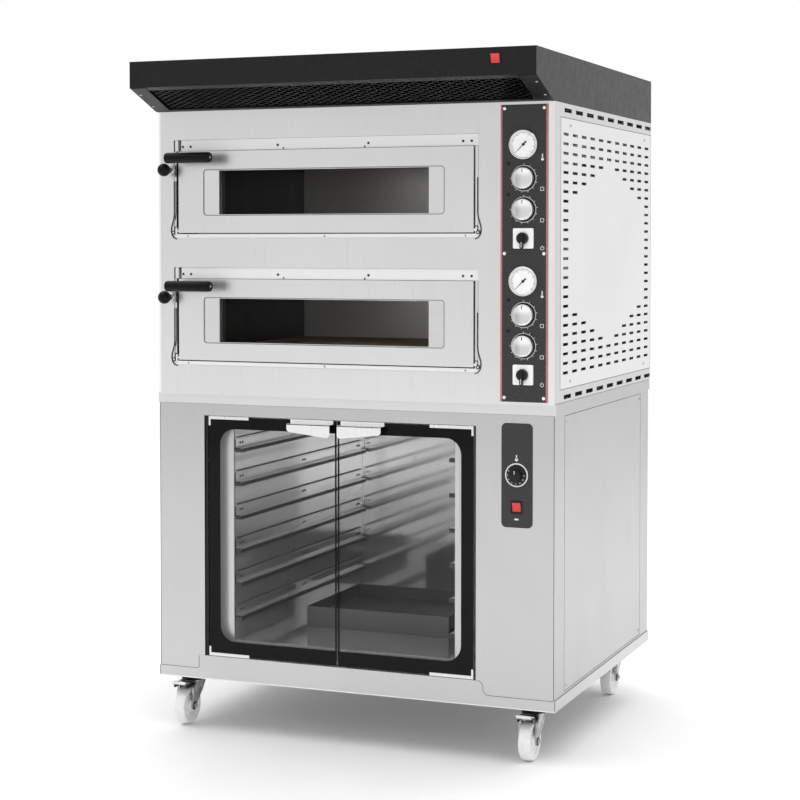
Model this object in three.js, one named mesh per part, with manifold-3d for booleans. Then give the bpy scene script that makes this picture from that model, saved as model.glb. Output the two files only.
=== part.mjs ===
// Two-deck baking oven on a proofer cabinet, with a steam hood and swivel casters.
// Millimetres, +X to the right, +Y to the back, +Z up. The origin is on the floor,
// under the centre of the overall box.
import * as THREE from 'three';
import { mergeVertices } from 'three/addons/utils/BufferGeometryUtils.js';
import Module from 'manifold-3d';

const wasm = await Module();
wasm.setup();

// ---- overall sizes ----
const bodyWidth = 1060;
const ovenDepth = 900;
const prooferDepth = 880;
const hoodReach = 147; // how far the hood stands out in front of the oven
const wheelRadius = 48.5;
const casterHeight = 2 * wheelRadius + 38;
const bandHeight = 27; // base band, and the band between proofer and oven
const prooferHeight = 680;
const deckPitch = 323; // from one deck to the next
const ovenHeight = 2 * deckPitch + 70;
const hoodHeight = 116;
const bandProud = 3; // how far the bands stand out of the side walls

// ---- fits and sheets ----
const gap = 0.3; // air between pieces that touch
const runFit = 0.4; // radial air of what turns or slides
const sheet = 2;
const slimSheet = 1.2;
const lipWidth = 15; // lip that a cover panel rests on
const bandLedge = 30; // width of the ledge inside the band under the oven
const rockerProud = 5; // how far a rocker's high end stands out of its sheet

const halfWidth = bodyWidth / 2;
const bodyDepth = Math.max(ovenDepth, prooferDepth + bandProud);
const frontY = (hoodReach + rockerProud - bodyDepth) / 2;
const backY = frontY + ovenDepth;
const prooferBackY = frontY + prooferDepth;
const prooferBottom = casterHeight + bandHeight;
const topBandBottom = prooferBottom + prooferHeight;
const ovenBottom = topBandBottom + bandHeight;
const hoodBottom = ovenBottom + ovenHeight;
const hoodTop = hoodBottom + hoodHeight;

// ---- materials ----
const finish = (color, roughness, metalness) =>
  new THREE.MeshStandardMaterial({ color, roughness, metalness });
const steel = finish(0xc9cacb, 0.32, 0.9);
const darkSteel = finish(0x55565a, 0.5, 0.8);
const blackPaint = finish(0x2b2b2c, 0.5, 0.2);
const blackPlastic = finish(0x1c1c1d, 0.45, 0);
const whitePlastic = finish(0xe6e6e4, 0.5, 0);
const redPlastic = finish(0xc93634, 0.3, 0);
const stripedFoil = finish(0x5d5e60, 0.4, 0.4);
const clearGlass = finish(0x9aa3a6, 0.05, 0);
const firebrick = finish(0x8a7462, 0.9, 0);

// ---- solids ----
// A closed three.js geometry as a solid.
function solid(geometry) {
  const bare = geometry.clone();
  bare.deleteAttribute('normal');
  bare.deleteAttribute('uv');
  const merged = mergeVertices(bare, 1e-4);
  const corners = [];
  const { array } = merged.index;
  for (let i = 0; i < array.length; i += 3) {
    const [a, b, c] = [array[i], array[i + 1], array[i + 2]];
    if (a !== b && b !== c && c !== a) corners.push(a, b, c);
  }
  return new wasm.Manifold(new wasm.Mesh({
    numProp: 3,
    vertProperties: merged.attributes.position.array,
    triVerts: new Uint32Array(corners),
  }));
}

const join = (...bodies) => bodies.reduce((a, b) => a.add(b));
const cut = (body, ...tools) => tools.reduce((a, b) => a.subtract(b), body);

function block([x0, x1], [y0, y1], [z0, z1]) {
  const box = new THREE.BoxGeometry(x1 - x0, y1 - y0, z1 - z0);
  return solid(box.translate((x0 + x1) / 2, (y0 + y1) / 2, (z0 + z1) / 2));
}

// Where an outline's first and second coordinates and its thickness point, for each axis.
const planes = {
  x: [[0, 1, 0], [0, 0, 1], [1, 0, 0]],
  y: [[1, 0, 0], [0, 0, 1], [0, -1, 0]],
  z: [[1, 0, 0], [0, 1, 0], [0, 0, 1]],
};

// An outline carried along an axis from one value to another. The outline lies in (y, z),
// (x, z) or (x, y), and is a list of points or a THREE.Shape.
function prism(axis, outline, [from, to], curveSegments = 3) {
  const shape = Array.isArray(outline)
    ? new THREE.Shape(outline.map(([a, b]) => new THREE.Vector2(a, b)))
    : outline;
  const options = { depth: to - from, bevelEnabled: false, curveSegments };
  const geometry = new THREE.ExtrudeGeometry(shape, options);
  const frame = planes[axis].map((v) => new THREE.Vector3(...v));
  geometry.applyMatrix4(new THREE.Matrix4().makeBasis(...frame));
  const start = axis === 'y' ? to : from;
  const place = { x: [start, 0, 0], y: [0, start, 0], z: [0, 0, start] }[axis];
  return solid(geometry.translate(...place));
}

function roundedRect(a0, a1, b0, b1, r) {
  const shape = new THREE.Shape();
  shape.absarc(a1 - r, b0 + r, r, -Math.PI / 2, 0);
  shape.absarc(a1 - r, b1 - r, r, 0, Math.PI / 2);
  shape.absarc(a0 + r, b1 - r, r, Math.PI / 2, Math.PI);
  shape.absarc(a0 + r, b0 + r, r, Math.PI, Math.PI * 1.5);
  return shape;
}

// A profile of [radius, distance] pairs turned about an axis through a point. The distance
// runs along +x, +z, or -y, which is out of the front.
function turned(axis, centre, profile, segments = 16) {
  const points = profile.map(([r, t]) => new THREE.Vector2(r, t));
  const geometry = new THREE.LatheGeometry(points, segments);
  if (axis === 'x') geometry.rotateZ(-Math.PI / 2);
  if (axis === 'z') geometry.rotateX(Math.PI / 2);
  if (axis === 'y') geometry.rotateX(Math.PI);
  return solid(geometry.translate(...centre));
}

const rod = (axis, centre, r, [t0, t1], segments = 8) =>
  turned(axis, centre, [[0, t0], [r, t0], [r, t1], [0, t1]], segments);

// A round bar bent through a list of points.
function bentBar(points, r, steps) {
  const path = new THREE.CatmullRomCurve3(points.map((p) => new THREE.Vector3(...p)), false,
    'catmullrom', 0.1);
  const section = new THREE.Shape().absarc(0, 0, r, 0, Math.PI * 2);
  const options = { steps, extrudePath: path, bevelEnabled: false, curveSegments: 3 };
  return solid(new THREE.ExtrudeGeometry(section, options));
}

const group = new THREE.Group();

function place(name, body, material, parent = group) {
  const { vertProperties, triVerts } = body.getMesh();
  const indexed = new THREE.BufferGeometry();
  indexed.setAttribute('position', new THREE.BufferAttribute(vertProperties, 3));
  indexed.setIndex(new THREE.BufferAttribute(triVerts, 1));
  const geometry = indexed.toNonIndexed();
  geometry.computeVertexNormals();
  const mesh = new THREE.Mesh(geometry, material);
  mesh.name = name;
  parent.add(mesh);
}

// ---- proofer front ----
const doorOpening = {
  left: 128 - halfWidth, right: halfWidth - 197, bottom: prooferBottom + 34, top: topBandBottom - 30,
};
const cavity = {
  left: 200 - halfWidth, right: halfWidth - 260, bottom: prooferBottom + 74, top: topBandBottom - 46,
  depth: prooferDepth - 18,
};
const lipBack = 27; // the bright inner lip's rear face, behind the front face
const sillSide = 17; // how far the raised sill reaches past the opening on the left
const sillStep = 8; // and on the right
const sillCurve = 15; // radius of the bends where the sill steps down to the band

// ---- casters ----
const casterX = { left: 47 - halfWidth, right: halfWidth - 78 };
const casterY = { front: frontY + 88, rear: frontY + prooferDepth - 74 };
const casterTrail = 33; // the axle stands this far in front of the swivel
const wheelWidth = 30;
const hubWidth = 34;
const hubRadius = 15;
const axleRadius = 5;
const forkSheet = 3;
const forkInside = hubWidth + 2;
const casterPlate = { width: 104, depth: 84, thick: 4 };
const crownZ = casterHeight - 23; // top of the fork's crown
const raceRadius = 25;
const swivelPin = 6;

function baseFrame() {
  const rim = halfWidth + bandProud;
  const [y0, y1] = [frontY, prooferBackY + bandProud];
  let body = block([-rim, rim], [y0, y1], [casterHeight, prooferBottom]);
  body = cut(body, block([sheet - rim, rim - sheet], [y0 + sheet, y1 - sheet],
    [casterHeight - 1, prooferBottom - sheet]));
  for (const y of Object.values(casterY)) {
    const { width, depth, thick } = casterPlate;
    const crossRail = block([sheet / 2 - rim, rim - sheet / 2], [y - depth / 2, y + depth / 2],
      [casterHeight, prooferBottom - sheet / 2]);
    body = join(body, crossRail);
    for (const x of Object.values(casterX)) {
      const inset = Math.min(width / 2, rim - Math.abs(x) - 1);
      const reach = x < 0 ? [x - inset, x + width / 2] : [x - width / 2, x + inset];
      const plate = block(reach, [y - depth / 2, y + depth / 2], [casterHeight - thick, casterHeight + 1]);
      body = cut(join(body, plate), rod('z', [x, y, 0], swivelPin + runFit,
        [casterHeight - thick - 1, casterHeight + 10], 12));
    }
  }
  return join(body, raisedSill(y0));
}

// The base's front sheet rises to the door opening between the door posts.
function raisedSill(y0) {
  const [left, right] = [doorOpening.left - sillSide, doorOpening.right + sillStep];
  const low = prooferBottom - sheet / 2;
  const shape = new THREE.Shape();
  shape.moveTo(left, low);
  shape.lineTo(right + 2 * sillCurve, low);
  shape.lineTo(right + 2 * sillCurve, prooferBottom);
  const bendX = right - sillCurve * 0.3;
  shape.absarc(bendX + 2 * sillCurve, prooferBottom + sillCurve, sillCurve, -Math.PI / 2, -Math.PI, true);
  shape.absarc(bendX, doorOpening.bottom - sillCurve, sillCurve, 0, Math.PI / 2);
  shape.lineTo(left, doorOpening.bottom);
  return prism('y', shape, [y0, y0 + sheet]);
}

// ---- side cover panels ----
const prooferPanel = {
  y0: frontY + 82, y1: frontY + prooferDepth - 83, z0: prooferBottom + 6, z1: topBandBottom - 6,
};
const ventPanel = { y0: frontY + 43, y1: backY - gap, z0: ovenBottom + 31, z1: hoodBottom - 34 };

// Cuts a right wall for a cover panel and leaves an inner lip behind it, inside the wall's
// own height.
function panelSeat(body, panel, [low, high]) {
  const { y0, y1, z0, z1 } = panel;
  const wall = halfWidth - sheet;
  const lip = block([wall - sheet, wall + sheet / 2], [y0 - lipWidth, Math.min(y1 + lipWidth, backY - sheet)],
    [Math.max(z0 - lipWidth, low), Math.min(z1 + lipWidth, high)]);
  const rebate = block([wall, halfWidth + 1], [y0 - gap, y1 + gap], [z0 - gap, z1 + gap]);
  const window = block([wall - sheet - 1, halfWidth + 1], [y0 + lipWidth, y1 - lipWidth],
    [z0 + lipWidth, z1 - lipWidth]);
  return cut(join(body, lip), rebate, window);
}

const panelSpan = [halfWidth - sheet + gap, halfWidth];

function prooferCasing() {
  const y0 = frontY + sheet + gap;
  let body = block([-halfWidth, halfWidth], [y0, prooferBackY], [prooferBottom + gap, topBandBottom + 1]);
  body = cut(body, block([sheet - halfWidth, halfWidth - sheet], [y0 - 1, prooferBackY - sheet],
    [prooferBottom, topBandBottom + 2]));
  body = panelSeat(body, prooferPanel, [prooferBottom + gap, topBandBottom]);
  const rim = halfWidth + bandProud;
  const [b0, b1] = [frontY + gap, prooferBackY + bandProud];
  const bandTop = ovenBottom - gap;
  let band = block([-rim, rim], [b0, b1], [topBandBottom, bandTop]);
  band = cut(band,
    block([sheet - rim, rim - sheet], [b0 + sheet, b1 - sheet], [topBandBottom + sheet, bandTop - sheet]),
    block([bandLedge - rim, rim - bandLedge], [b0 + bandLedge, b1 - bandLedge],
      [topBandBottom - 1, topBandBottom + sheet + 1]));
  return join(body, band);
}

const prooferSidePanel = () => block(panelSpan, [prooferPanel.y0, prooferPanel.y1],
  [prooferPanel.z0, prooferPanel.z1]);

// ---- proofer controls ----
const prooferPlate = {
  x0: halfWidth - 132, x1: halfWidth - 54, z0: topBandBottom - 270, z1: topBandBottom - 20, round: 12,
};
const prooferKnob = { x: halfWidth - 94, z: topBandBottom - 144, radius: 24, shaft: 3 };
const rocker = { width: 21, height: 24, depth: 9, wall: 2, dish: 1.3 };
const prooferRocker = { x: prooferKnob.x, z: prooferKnob.z - 77 };
const hoodRocker = { x: halfWidth - 99, z: hoodTop - 26 };

// A box socket behind a sheet, open to the front, that holds a rocker.
function rockerSocket(at, face) {
  const [w, h] = [rocker.width / 2 + runFit, rocker.height / 2 + runFit];
  const deep = rocker.depth + 5;
  const outer = block([at.x - w - rocker.wall, at.x + w + rocker.wall], [face + sheet / 2, face + deep],
    [at.z - h - rocker.wall, at.z + h + rocker.wall]);
  const inner = block([at.x - w, at.x + w], [face - 5, face + deep - rocker.wall], [at.z - h, at.z + h]);
  return { outer, inner };
}

// The rocker turns on the line midway between its ends' two positions, and leans on its
// lower half: its front is a shallow V about that line.
function rockerKey(at, face) {
  const h = rocker.height / 2 - 0.7;
  const tilt = (Math.asin(rockerProud / 2 / h) * 180) / Math.PI;
  const back = rocker.depth - 2;
  const outline = [[0, h], [rocker.dish, 0], [0, -h], [back, 3 - h], [rocker.depth, 0], [back, h - 3]];
  const key = prism('x', outline.reverse(), [-rocker.width / 2, rocker.width / 2]);
  return key.rotate([tilt, 0, 0]).translate([at.x, face - rockerProud / 2, at.z]);
}

const hingePin = { radius: 4, x: 12, y: 7, reach: 6 }; // x and y from the glass edge and the front face

function prooferFrontFrame() {
  const { left, right, bottom, top } = doorOpening;
  const [y0, y1] = [frontY, frontY + sheet];
  const whole = block([-halfWidth, halfWidth], [y0, y1], [prooferBottom + gap, topBandBottom - gap]);
  const opening = block([left, right], [y0 - 1, frontY + lipBack + 1], [bottom, top]);
  const notch = block([left - sillSide - gap, right + sillStep + 2 * sillCurve + gap], [y0 - 1, y1 + 1],
    [prooferBottom - 1, bottom + gap]);
  const foot = prism('y', footOutline(), [y0, y1]);
  const jamb = block([left - sheet, right + sheet], [y1 - 1, frontY + lipBack],
    [bottom - sheet, top + sheet]);
  const low = block([left - sheet - 1, right + sheet + 1], [y1 - 2, y1 + gap],
    [bottom - sheet - 1, bottom]);
  const room = block([left, right], [y0 - 1, frontY + lipBack - sheet], [bottom, top]);
  const hole = block([cavity.left, cavity.right], [frontY + lipBack - sheet - 1, frontY + lipBack + 1],
    [cavity.bottom, cavity.top]);
  let body = join(cut(whole, opening, notch), foot, cut(jamb, room, hole, low));
  for (const x of hingePinX) {
    for (const z of [bottom - sheet / 2, top + sheet / 2]) {
      body = cut(body, rod('z', [x, frontY + hingePin.y, z], hingePin.radius + runFit, [-sheet, sheet], 8));
    }
  }
  const socket = rockerSocket(prooferRocker, frontY);
  const shaft = rod('y', [prooferKnob.x, frontY, prooferKnob.z], prooferKnob.shaft + runFit, [-5, 5], 8);
  return cut(join(body, socket.outer), socket.inner, shaft);
}

// The right door post's foot, shaped to the sill's bends.
function footOutline() {
  const right = doorOpening.right + sillStep;
  const end = right + 2 * sillCurve + gap + 1;
  const bendX = right - sillCurve * 0.3;
  const shape = new THREE.Shape();
  shape.moveTo(bendX + gap + 0.2, doorOpening.bottom + gap + 1);
  shape.absarc(bendX, doorOpening.bottom - sillCurve, sillCurve + gap, Math.PI / 2.06, 0, true);
  shape.absarc(bendX + 2 * sillCurve, prooferBottom + sillCurve, sillCurve - gap, Math.PI, Math.PI * 1.5);
  shape.lineTo(end, prooferBottom + gap);
  shape.lineTo(end, doorOpening.bottom + gap + 1);
  return shape;
}

function prooferLiner() {
  const { left, right, bottom, top } = cavity;
  const [y0, y1] = [frontY + lipBack + gap, frontY + cavity.depth];
  const outline = [[y0, bottom - sheet], [y1, bottom - sheet], [y1, top + sheet], [y0, top + sheet],
    [y0, top], [y1 - sheet, top], [y1 - sheet, bottom], [y0, bottom]];
  return prism('x', outline, [left, right]);
}

// ---- tray rails ----
const rail = {
  lowest: cavity.bottom + 62, pitch: (prooferHeight - 164) / 6, count: 6, height: 22, width: 16,
  start: 30, end: prooferDepth - 35,
};

// A cavity side wall with its tray rails. The side is -1 on the left and 1 on the right.
function trayWall(side) {
  const face = side < 0 ? cavity.left - gap : cavity.right + gap;
  const span = (a, b) => [face - side * a, face - side * b].sort((p, q) => p - q);
  const [y0, y1] = [frontY + lipBack + gap, frontY + cavity.depth];
  let body = block(span(-sheet, 0), [y0, y1], [cavity.bottom - sheet, cavity.top + sheet]);
  for (let i = 0; i < rail.count; i += 1) {
    const z = rail.lowest + i * rail.pitch;
    const run = [frontY + rail.start, frontY + rail.end];
    body = join(body, block(span(-1, sheet), run, [z, z + rail.height]),
      block(span(0, rail.width), run, [z - sheet, z]));
  }
  if (side > 0) {
    for (const y of heaterLead) {
      body = cut(body, rod('x', [face, y, heaterZ], heaterBar + 1, [-5, 5], 8));
    }
  }
  return body;
}

// ---- water tray and its heater ----
const tray = {
  x0: cavity.left + 100, x1: cavity.right - 100, y0: frontY + 250, y1: frontY + 600, legs: 20, height: 34,
};
const heaterBar = 4;
const heaterZ = cavity.bottom + 10;
const heaterLead = [frontY + 320, frontY + 520];

function waterTray() {
  const { x0, x1, y0, y1, legs, height } = tray;
  const base = cavity.bottom + gap;
  const floor = base + legs;
  const pan = cut(block([x0, x1], [y0, y1], [floor, floor + height]),
    block([x0 + sheet, x1 - sheet], [y0 + sheet, y1 - sheet], [floor + sheet, floor + height + 1]));
  const foot = (y) => block([x0, x1], [y, y + sheet], [base, floor + 1]);
  return join(pan, foot(y0), foot(y1 - sheet));
}

function prooferHeater() {
  const [near, far] = heaterLead;
  const end = cavity.right + 25;
  const turn = tray.x0 + 30;
  const points = [[end, near], [turn + 60, near], [turn, near + 30], [turn, far - 30],
    [turn + 60, far], [end, far]];
  return bentBar(points.map(([x, y]) => [x, y, heaterZ]), heaterBar, 18);
}

// ---- glass doors of the proofer ----
const glass = {
  thick: 6, front: 3, bottom: doorOpening.bottom + 3, top: doorOpening.top - 3, left: doorOpening.left + 12,
  right: doorOpening.right - 7, split: -33, gapHalf: 1.5,
};
const hingePinX = [glass.left + hingePin.x, glass.right - hingePin.x];
const clamp = { length: 113, height: 6, arm: 22, sheet: 1.5, armWidth: 5 };
const pull = { width: 117, fromSplit: 10, flange: 9, stand: 24, drop: 29, sheet: 1.5, round: 8 };
const stile = { width: 18, depth: 6 };

function doorGlass(side) {
  const x = side < 0 ? [glass.left, glass.split - glass.gapHalf] : [glass.split + glass.gapHalf, glass.right];
  const y = frontY + glass.front;
  return block(x, [y, y + glass.thick], [glass.bottom, glass.top]);
}

// The hinge stile behind the glass, with the two corner clamps and their pivot pins.
function doorHinge(side) {
  const edge = side < 0 ? glass.left : glass.right;
  const span = (a, b) => [edge - side * a, edge - side * b].sort((p, q) => p - q);
  const face = frontY + glass.front;
  const [front, back] = [face - gap, face + glass.thick + gap];
  let body = block(span(0, stile.width), [back, back + stile.depth],
    [glass.bottom - gap - clamp.sheet / 2, glass.top + gap + clamp.sheet / 2]);
  for (const up of [-1, 1]) {
    const end = up < 0 ? glass.bottom : glass.top;
    const z = (a, b) => [end + up * a, end + up * b].sort((p, q) => p - q);
    const run = span(0, clamp.length);
    body = join(body,
      block(run, [front - clamp.sheet, back + clamp.sheet], z(gap, gap + clamp.sheet)),
      block(run, [front - clamp.sheet, front], z(-clamp.height, gap + 1)),
      block(span(0, clamp.armWidth), [front - clamp.sheet, front], z(-clamp.arm, gap + 1)),
      rod('z', [edge - side * hingePin.x, frontY + hingePin.y, end + up * gap], hingePin.radius,
        up < 0 ? [-hingePin.reach, 0] : [0, hingePin.reach], 8));
  }
  return body;
}

// A pull bent from sheet: a flange over the glass edge, a step to the front and a flap down.
function doorPull(side) {
  const inner = glass.split + side * pull.fromSplit;
  const x = [inner, inner + side * pull.width].sort((p, q) => p - q);
  const front = frontY + glass.front - gap;
  const back = frontY + glass.front + glass.thick + gap;
  const t = pull.sheet;
  const top = glass.top + gap;
  const step = glass.top - pull.flange;
  const flap = front - t - pull.stand;
  const hook = join(
    block(x, [front - t, back + t], [top, top + t]),
    block(x, [back, back + t], [step, top + t]),
    block(x, [front - t, front], [step, top + t]),
    block(x, [flap, front], [step, step + t]));
  const face = roundedRect(x[0], x[1], step + t - pull.drop - pull.round, step + t + pull.round, pull.round);
  const leaf = cut(prism('y', face, [flap, flap + t], 2),
    block([x[0] - 1, x[1] + 1], [flap - 1, flap + t + 1], [step + t, step + t + 2 * pull.round]));
  return join(hook, leaf);
}

// ---- oven front ----
const sillZ = ovenBottom + deckPitch + 71.5; // underside of the upper deck's recess
const up = (share) => sillZ + (share * deckPitch) / 646; // a height on the upper deck
const recess = { left: 50 - halfWidth, right: halfWidth - 187, bottom: sillZ, top: up(497) };
const plateProud = 13;
const plateFront = frontY - plateProud;
const plateChamfer = 12;
const plateDrop = 3; // the front plate hangs over the band
const control = {
  x0: halfWidth - 131, x1: halfWidth - 13, z0: ovenBottom + 5, z1: hoodBottom - 7, x: halfWidth - 73,
};
const gauge = { z: up(440), radius: 35.5, body: 30, deep: 26, dial: 31.5, face: 4, rim: 9, pin: 1.5 };
const knob = { zs: [up(281), up(133)], radius: 25.5, height: 15, shaft: 3 };
const cam = {
  z: up(-3), plateWidth: 50, plateHeight: 48, plateThick: 6, radius: 14.5, height: 14, lever: 8, shaft: 3,
};
const vent = { x: 39 - halfWidth, z: up(345), ball: 16.5, stand: 32, rod: 4, inside: 70 };
const decks = [['upper', 0], ['lower', -deckPitch]];
const controlFace = plateFront - gap - slimSheet; // front face of the control plate

function ovenFrontPlate() {
  const flat = halfWidth - plateChamfer;
  const shell = (inset) => [[inset - halfWidth, frontY], [inset - flat, plateFront + inset],
    [flat - inset, plateFront + inset], [halfWidth - inset, frontY]];
  const z = [ovenBottom - plateDrop, hoodBottom - gap];
  let body = cut(prism('z', shell(0), z),
    prism('z', [...shell(sheet), [halfWidth - sheet, frontY + 1], [sheet - halfWidth, frontY + 1]],
      [z[0] - 1, z[1] + 1]));
  for (const [, drop] of decks) {
    body = cut(body,
      block([recess.left, recess.right], [plateFront - 1, frontY], [recess.bottom + drop, recess.top + drop]),
      rod('y', [control.x, plateFront, gauge.z + drop], gauge.body + 1, [-5, 5], 16),
      rod('y', [vent.x, plateFront, vent.z + drop], vent.rod + runFit, [-5, 5], 12),
      rod('y', [control.x, plateFront, cam.z + drop], cam.shaft + runFit, [-5, 5], 8),
      ...knob.zs.map((kz) => rod('y', [control.x, plateFront, kz + drop], knob.shaft + runFit, [-5, 5], 8)));
  }
  return body;
}

function ovenControlPlate() {
  let body = block([control.x0, control.x1], [controlFace, plateFront - gap], [control.z0, control.z1]);
  for (const [, drop] of decks) {
    const [w, h] = [cam.plateWidth / 2, cam.plateHeight / 2];
    body = join(body, block([control.x - w, control.x + w], [controlFace - cam.plateThick, controlFace + 0.5],
      [cam.z + drop - h, cam.z + drop + h]));
    body = cut(body,
      rod('y', [control.x, plateFront, gauge.z + drop], gauge.body + 1, [-5, 15], 16),
      rod('y', [control.x, plateFront, cam.z + drop], cam.shaft + runFit, [-5, 15], 8),
      ...knob.zs.map((kz) => rod('y', [control.x, plateFront, kz + drop], knob.shaft + runFit, [-5, 15], 8)));
  }
  return body;
}

// Thermostat and switch bodies behind the front plate, on one mounting sheet.
function controlChassis() {
  const face = plateFront + sheet + gap;
  const rear = frontY + 30;
  let body = block([control.x0 + 6, control.x1 - 6], [rear, rear + sheet], [control.z0 + 8, control.z1 - 12]);
  for (const [, drop] of decks) {
    const stops = [...knob.zs.map((kz) => [kz + drop, 22, knob.shaft]), [cam.z + drop, 20, cam.shaft]];
    for (const [z, half, shaft] of stops) {
      body = join(body, block([control.x - half, control.x + half], [face, rear + 1], [z - half, z + half]));
      body = cut(body, rod('y', [control.x, face, z], shaft + runFit, [-24, 1], 8));
    }
  }
  return body;
}

function gaugeCase(drop) {
  const g = gauge;
  const face = [control.x, controlFace, g.z + drop];
  const back = [[0, -g.deep], [g.body, -g.deep], [g.body, gap], [g.radius, gap]];
  const bezel = [[g.radius, g.rim - 2], [g.radius - 2, g.rim], [g.dial, g.rim], [g.dial, g.face]];
  const pin = [[g.pin, g.face], [g.pin, g.rim - 2.5], [0, g.rim - 2.5]];
  return turned('y', face, [...back, ...bezel, ...pin], 20);
}

// The pointer: a hub round the dial's pin, a long arm and a short tail. It rests at the low end.
const needleRest = 225; // degrees from straight right, seen from the front

function gaugeNeedle(drop) {
  const hub = 4;
  const outline = new THREE.Shape();
  outline.absarc(0, 0, hub, Math.PI * 0.12, Math.PI * 0.88);
  outline.lineTo(-14, 1.2);
  outline.lineTo(-14, -1.2);
  outline.absarc(0, 0, hub, Math.PI * 1.12, Math.PI * 1.88);
  outline.lineTo(25, -0.7);
  outline.lineTo(25, 0.7);
  const face = gauge.face + 0.8;
  const eye = rod('y', [0, 0, 0], gauge.pin + runFit, [0, gauge.rim], 8);
  const flat = cut(prism('y', outline, [-face - 0.8, -face]), eye);
  return flat.rotate([0, -needleRest, 0]).translate([control.x, controlFace, gauge.z + drop]);
}

function thermostatKnob(z) {
  const { radius: r, height: h, shaft } = knob;
  const spindle = [[0, -22], [shaft, -22], [shaft, gap]];
  const cap = [[r - 2, gap], [r - 2, 2.5], [r, 2.5], [r, h], [0, h]];
  return turned('y', [control.x, controlFace, z], [...spindle, ...cap], 16);
}

function camKnob(z) {
  const face = controlFace - cam.plateThick;
  const spindle = [[0, -20], [cam.shaft, -20], [cam.shaft, gap]];
  const cap = [[cam.radius, gap], [cam.radius - 1, cam.height - 4], [0, cam.height - 4]];
  const disc = turned('y', [control.x, face, z], [...spindle, ...cap], 14);
  const half = cam.lever / 2;
  const lever = roundedRect(control.x - half, control.x + half, z - cam.plateHeight / 2, z + cam.radius, 2.5);
  return join(disc, prism('y', lever, [face - cam.height, face - cam.height + 9], 2));
}

function ventKnob(drop) {
  const { ball, stand, rod: r, inside } = vent;
  const start = Math.asin(r / ball);
  const rings = 6;
  const arc = Array.from({ length: rings }, (_, i) => {
    const a = start + ((Math.PI - start) * (i + 0.5)) / rings;
    return [ball * Math.sin(a), stand - ball * Math.cos(a)];
  });
  const neck = stand - ball * Math.cos(start);
  const profile = [[0, -inside], [r, -inside], [r, neck], ...arc, [0, stand + ball]];
  return turned('y', [vent.x, plateFront, vent.z + drop], profile, 12);
}

// ---- deck doors ----
const doorGap = { left: 14, right: 12, top: 1 };
const sillRail = 10; // height of the bright rail under the door
const header = 28; // height of the fixed strip over the door
const door = { thick: 34, proud: 1, underGap: 3 };
const windowOuter = {
  left: recess.left + 86, right: recess.right - 87, low: up(115), high: up(345), round: 8, deep: 1.5,
};
const windowInner = { left: recess.left + 129, right: recess.right - 127, low: up(119), high: up(341) };
const pane = { grip: 12, thick: 5, behind: 9 };
const doorFront = plateFront - door.proud;
const doorBack = doorFront + door.thick;
const doorLow = recess.bottom + sillRail + door.underGap;
const doorHigh = recess.top - header - doorGap.top;
const doorLeft = recess.left + doorGap.left;
const doorRight = recess.right - doorGap.right;
const doorAxis = { y: doorFront + 6, z: doorLow + 6, pin: 4, reach: 9 };
const handle = {
  x0: recess.left + 2, x1: recess.left + 130, z: up(403), stand: 47, radius: 13.5, core: 6, arm: 8, half: 7,
};
const handleY = plateFront - handle.stand;

const paneBox = (grow) => [
  [windowInner.left - pane.grip - grow, windowInner.right + pane.grip + grow],
  [doorFront + pane.behind - grow, doorFront + pane.behind + pane.thick + grow],
  [windowInner.low - pane.grip - grow, windowInner.high + pane.grip + grow],
];

function deckDoor() {
  const o = windowOuter;
  const i = windowInner;
  let body = block([doorLeft, doorRight], [doorFront, doorBack], [doorLow, doorHigh]);
  body = cut(body,
    prism('y', roundedRect(o.left, o.right, o.low, o.high, o.round), [doorFront - 1, doorFront + o.deep], 2),
    block([i.left, i.right], [doorFront - 1, doorBack + 1], [i.low, i.high]),
    block(...paneBox(gap)));
  for (const [x, side] of [[doorLeft, -1], [doorRight, 1]]) {
    const run = side < 0 ? [-doorAxis.reach, 1] : [-1, doorAxis.reach];
    body = join(body, rod('x', [x, doorAxis.y, doorAxis.z], doorAxis.pin, run, 8));
  }
  const armX = [doorLeft, doorLeft + handle.arm];
  return join(body,
    block(armX, [handleY, doorFront + 1], [handle.z - handle.half, handle.z + handle.half]),
    rod('x', [0, handleY, handle.z], handle.core, [doorLeft, handle.x1 - 4], 8));
}

function doorHandle() {
  const { x0, x1, z, radius: r } = handle;
  const outline = [[0, x0], [r - 3, x0], [r, x0 + 3], [r, x1 - 2], [r - 2, x1], [0, x1]];
  const grip = turned('x', [0, handleY, z], outline, 14);
  return cut(grip,
    rod('x', [0, handleY, z], handle.core + gap, [doorLeft - gap, x1 - 3], 8),
    block([doorLeft - gap, doorLeft + handle.arm + gap], [handleY, handleY + 2 * r],
      [z - handle.half - gap, z + handle.half + gap]));
}

// ---- baking chambers ----
const chamber = {
  left: recess.left + 52, right: recess.right - 51, floor: up(53), ceiling: up(415), depth: ovenDepth - 238,
};
const flangeBack = doorBack + 4;
// The two bright posts left of the header strip.
const post = { width: 9, at: [recess.left + 2, recess.left + 20] };

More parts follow.
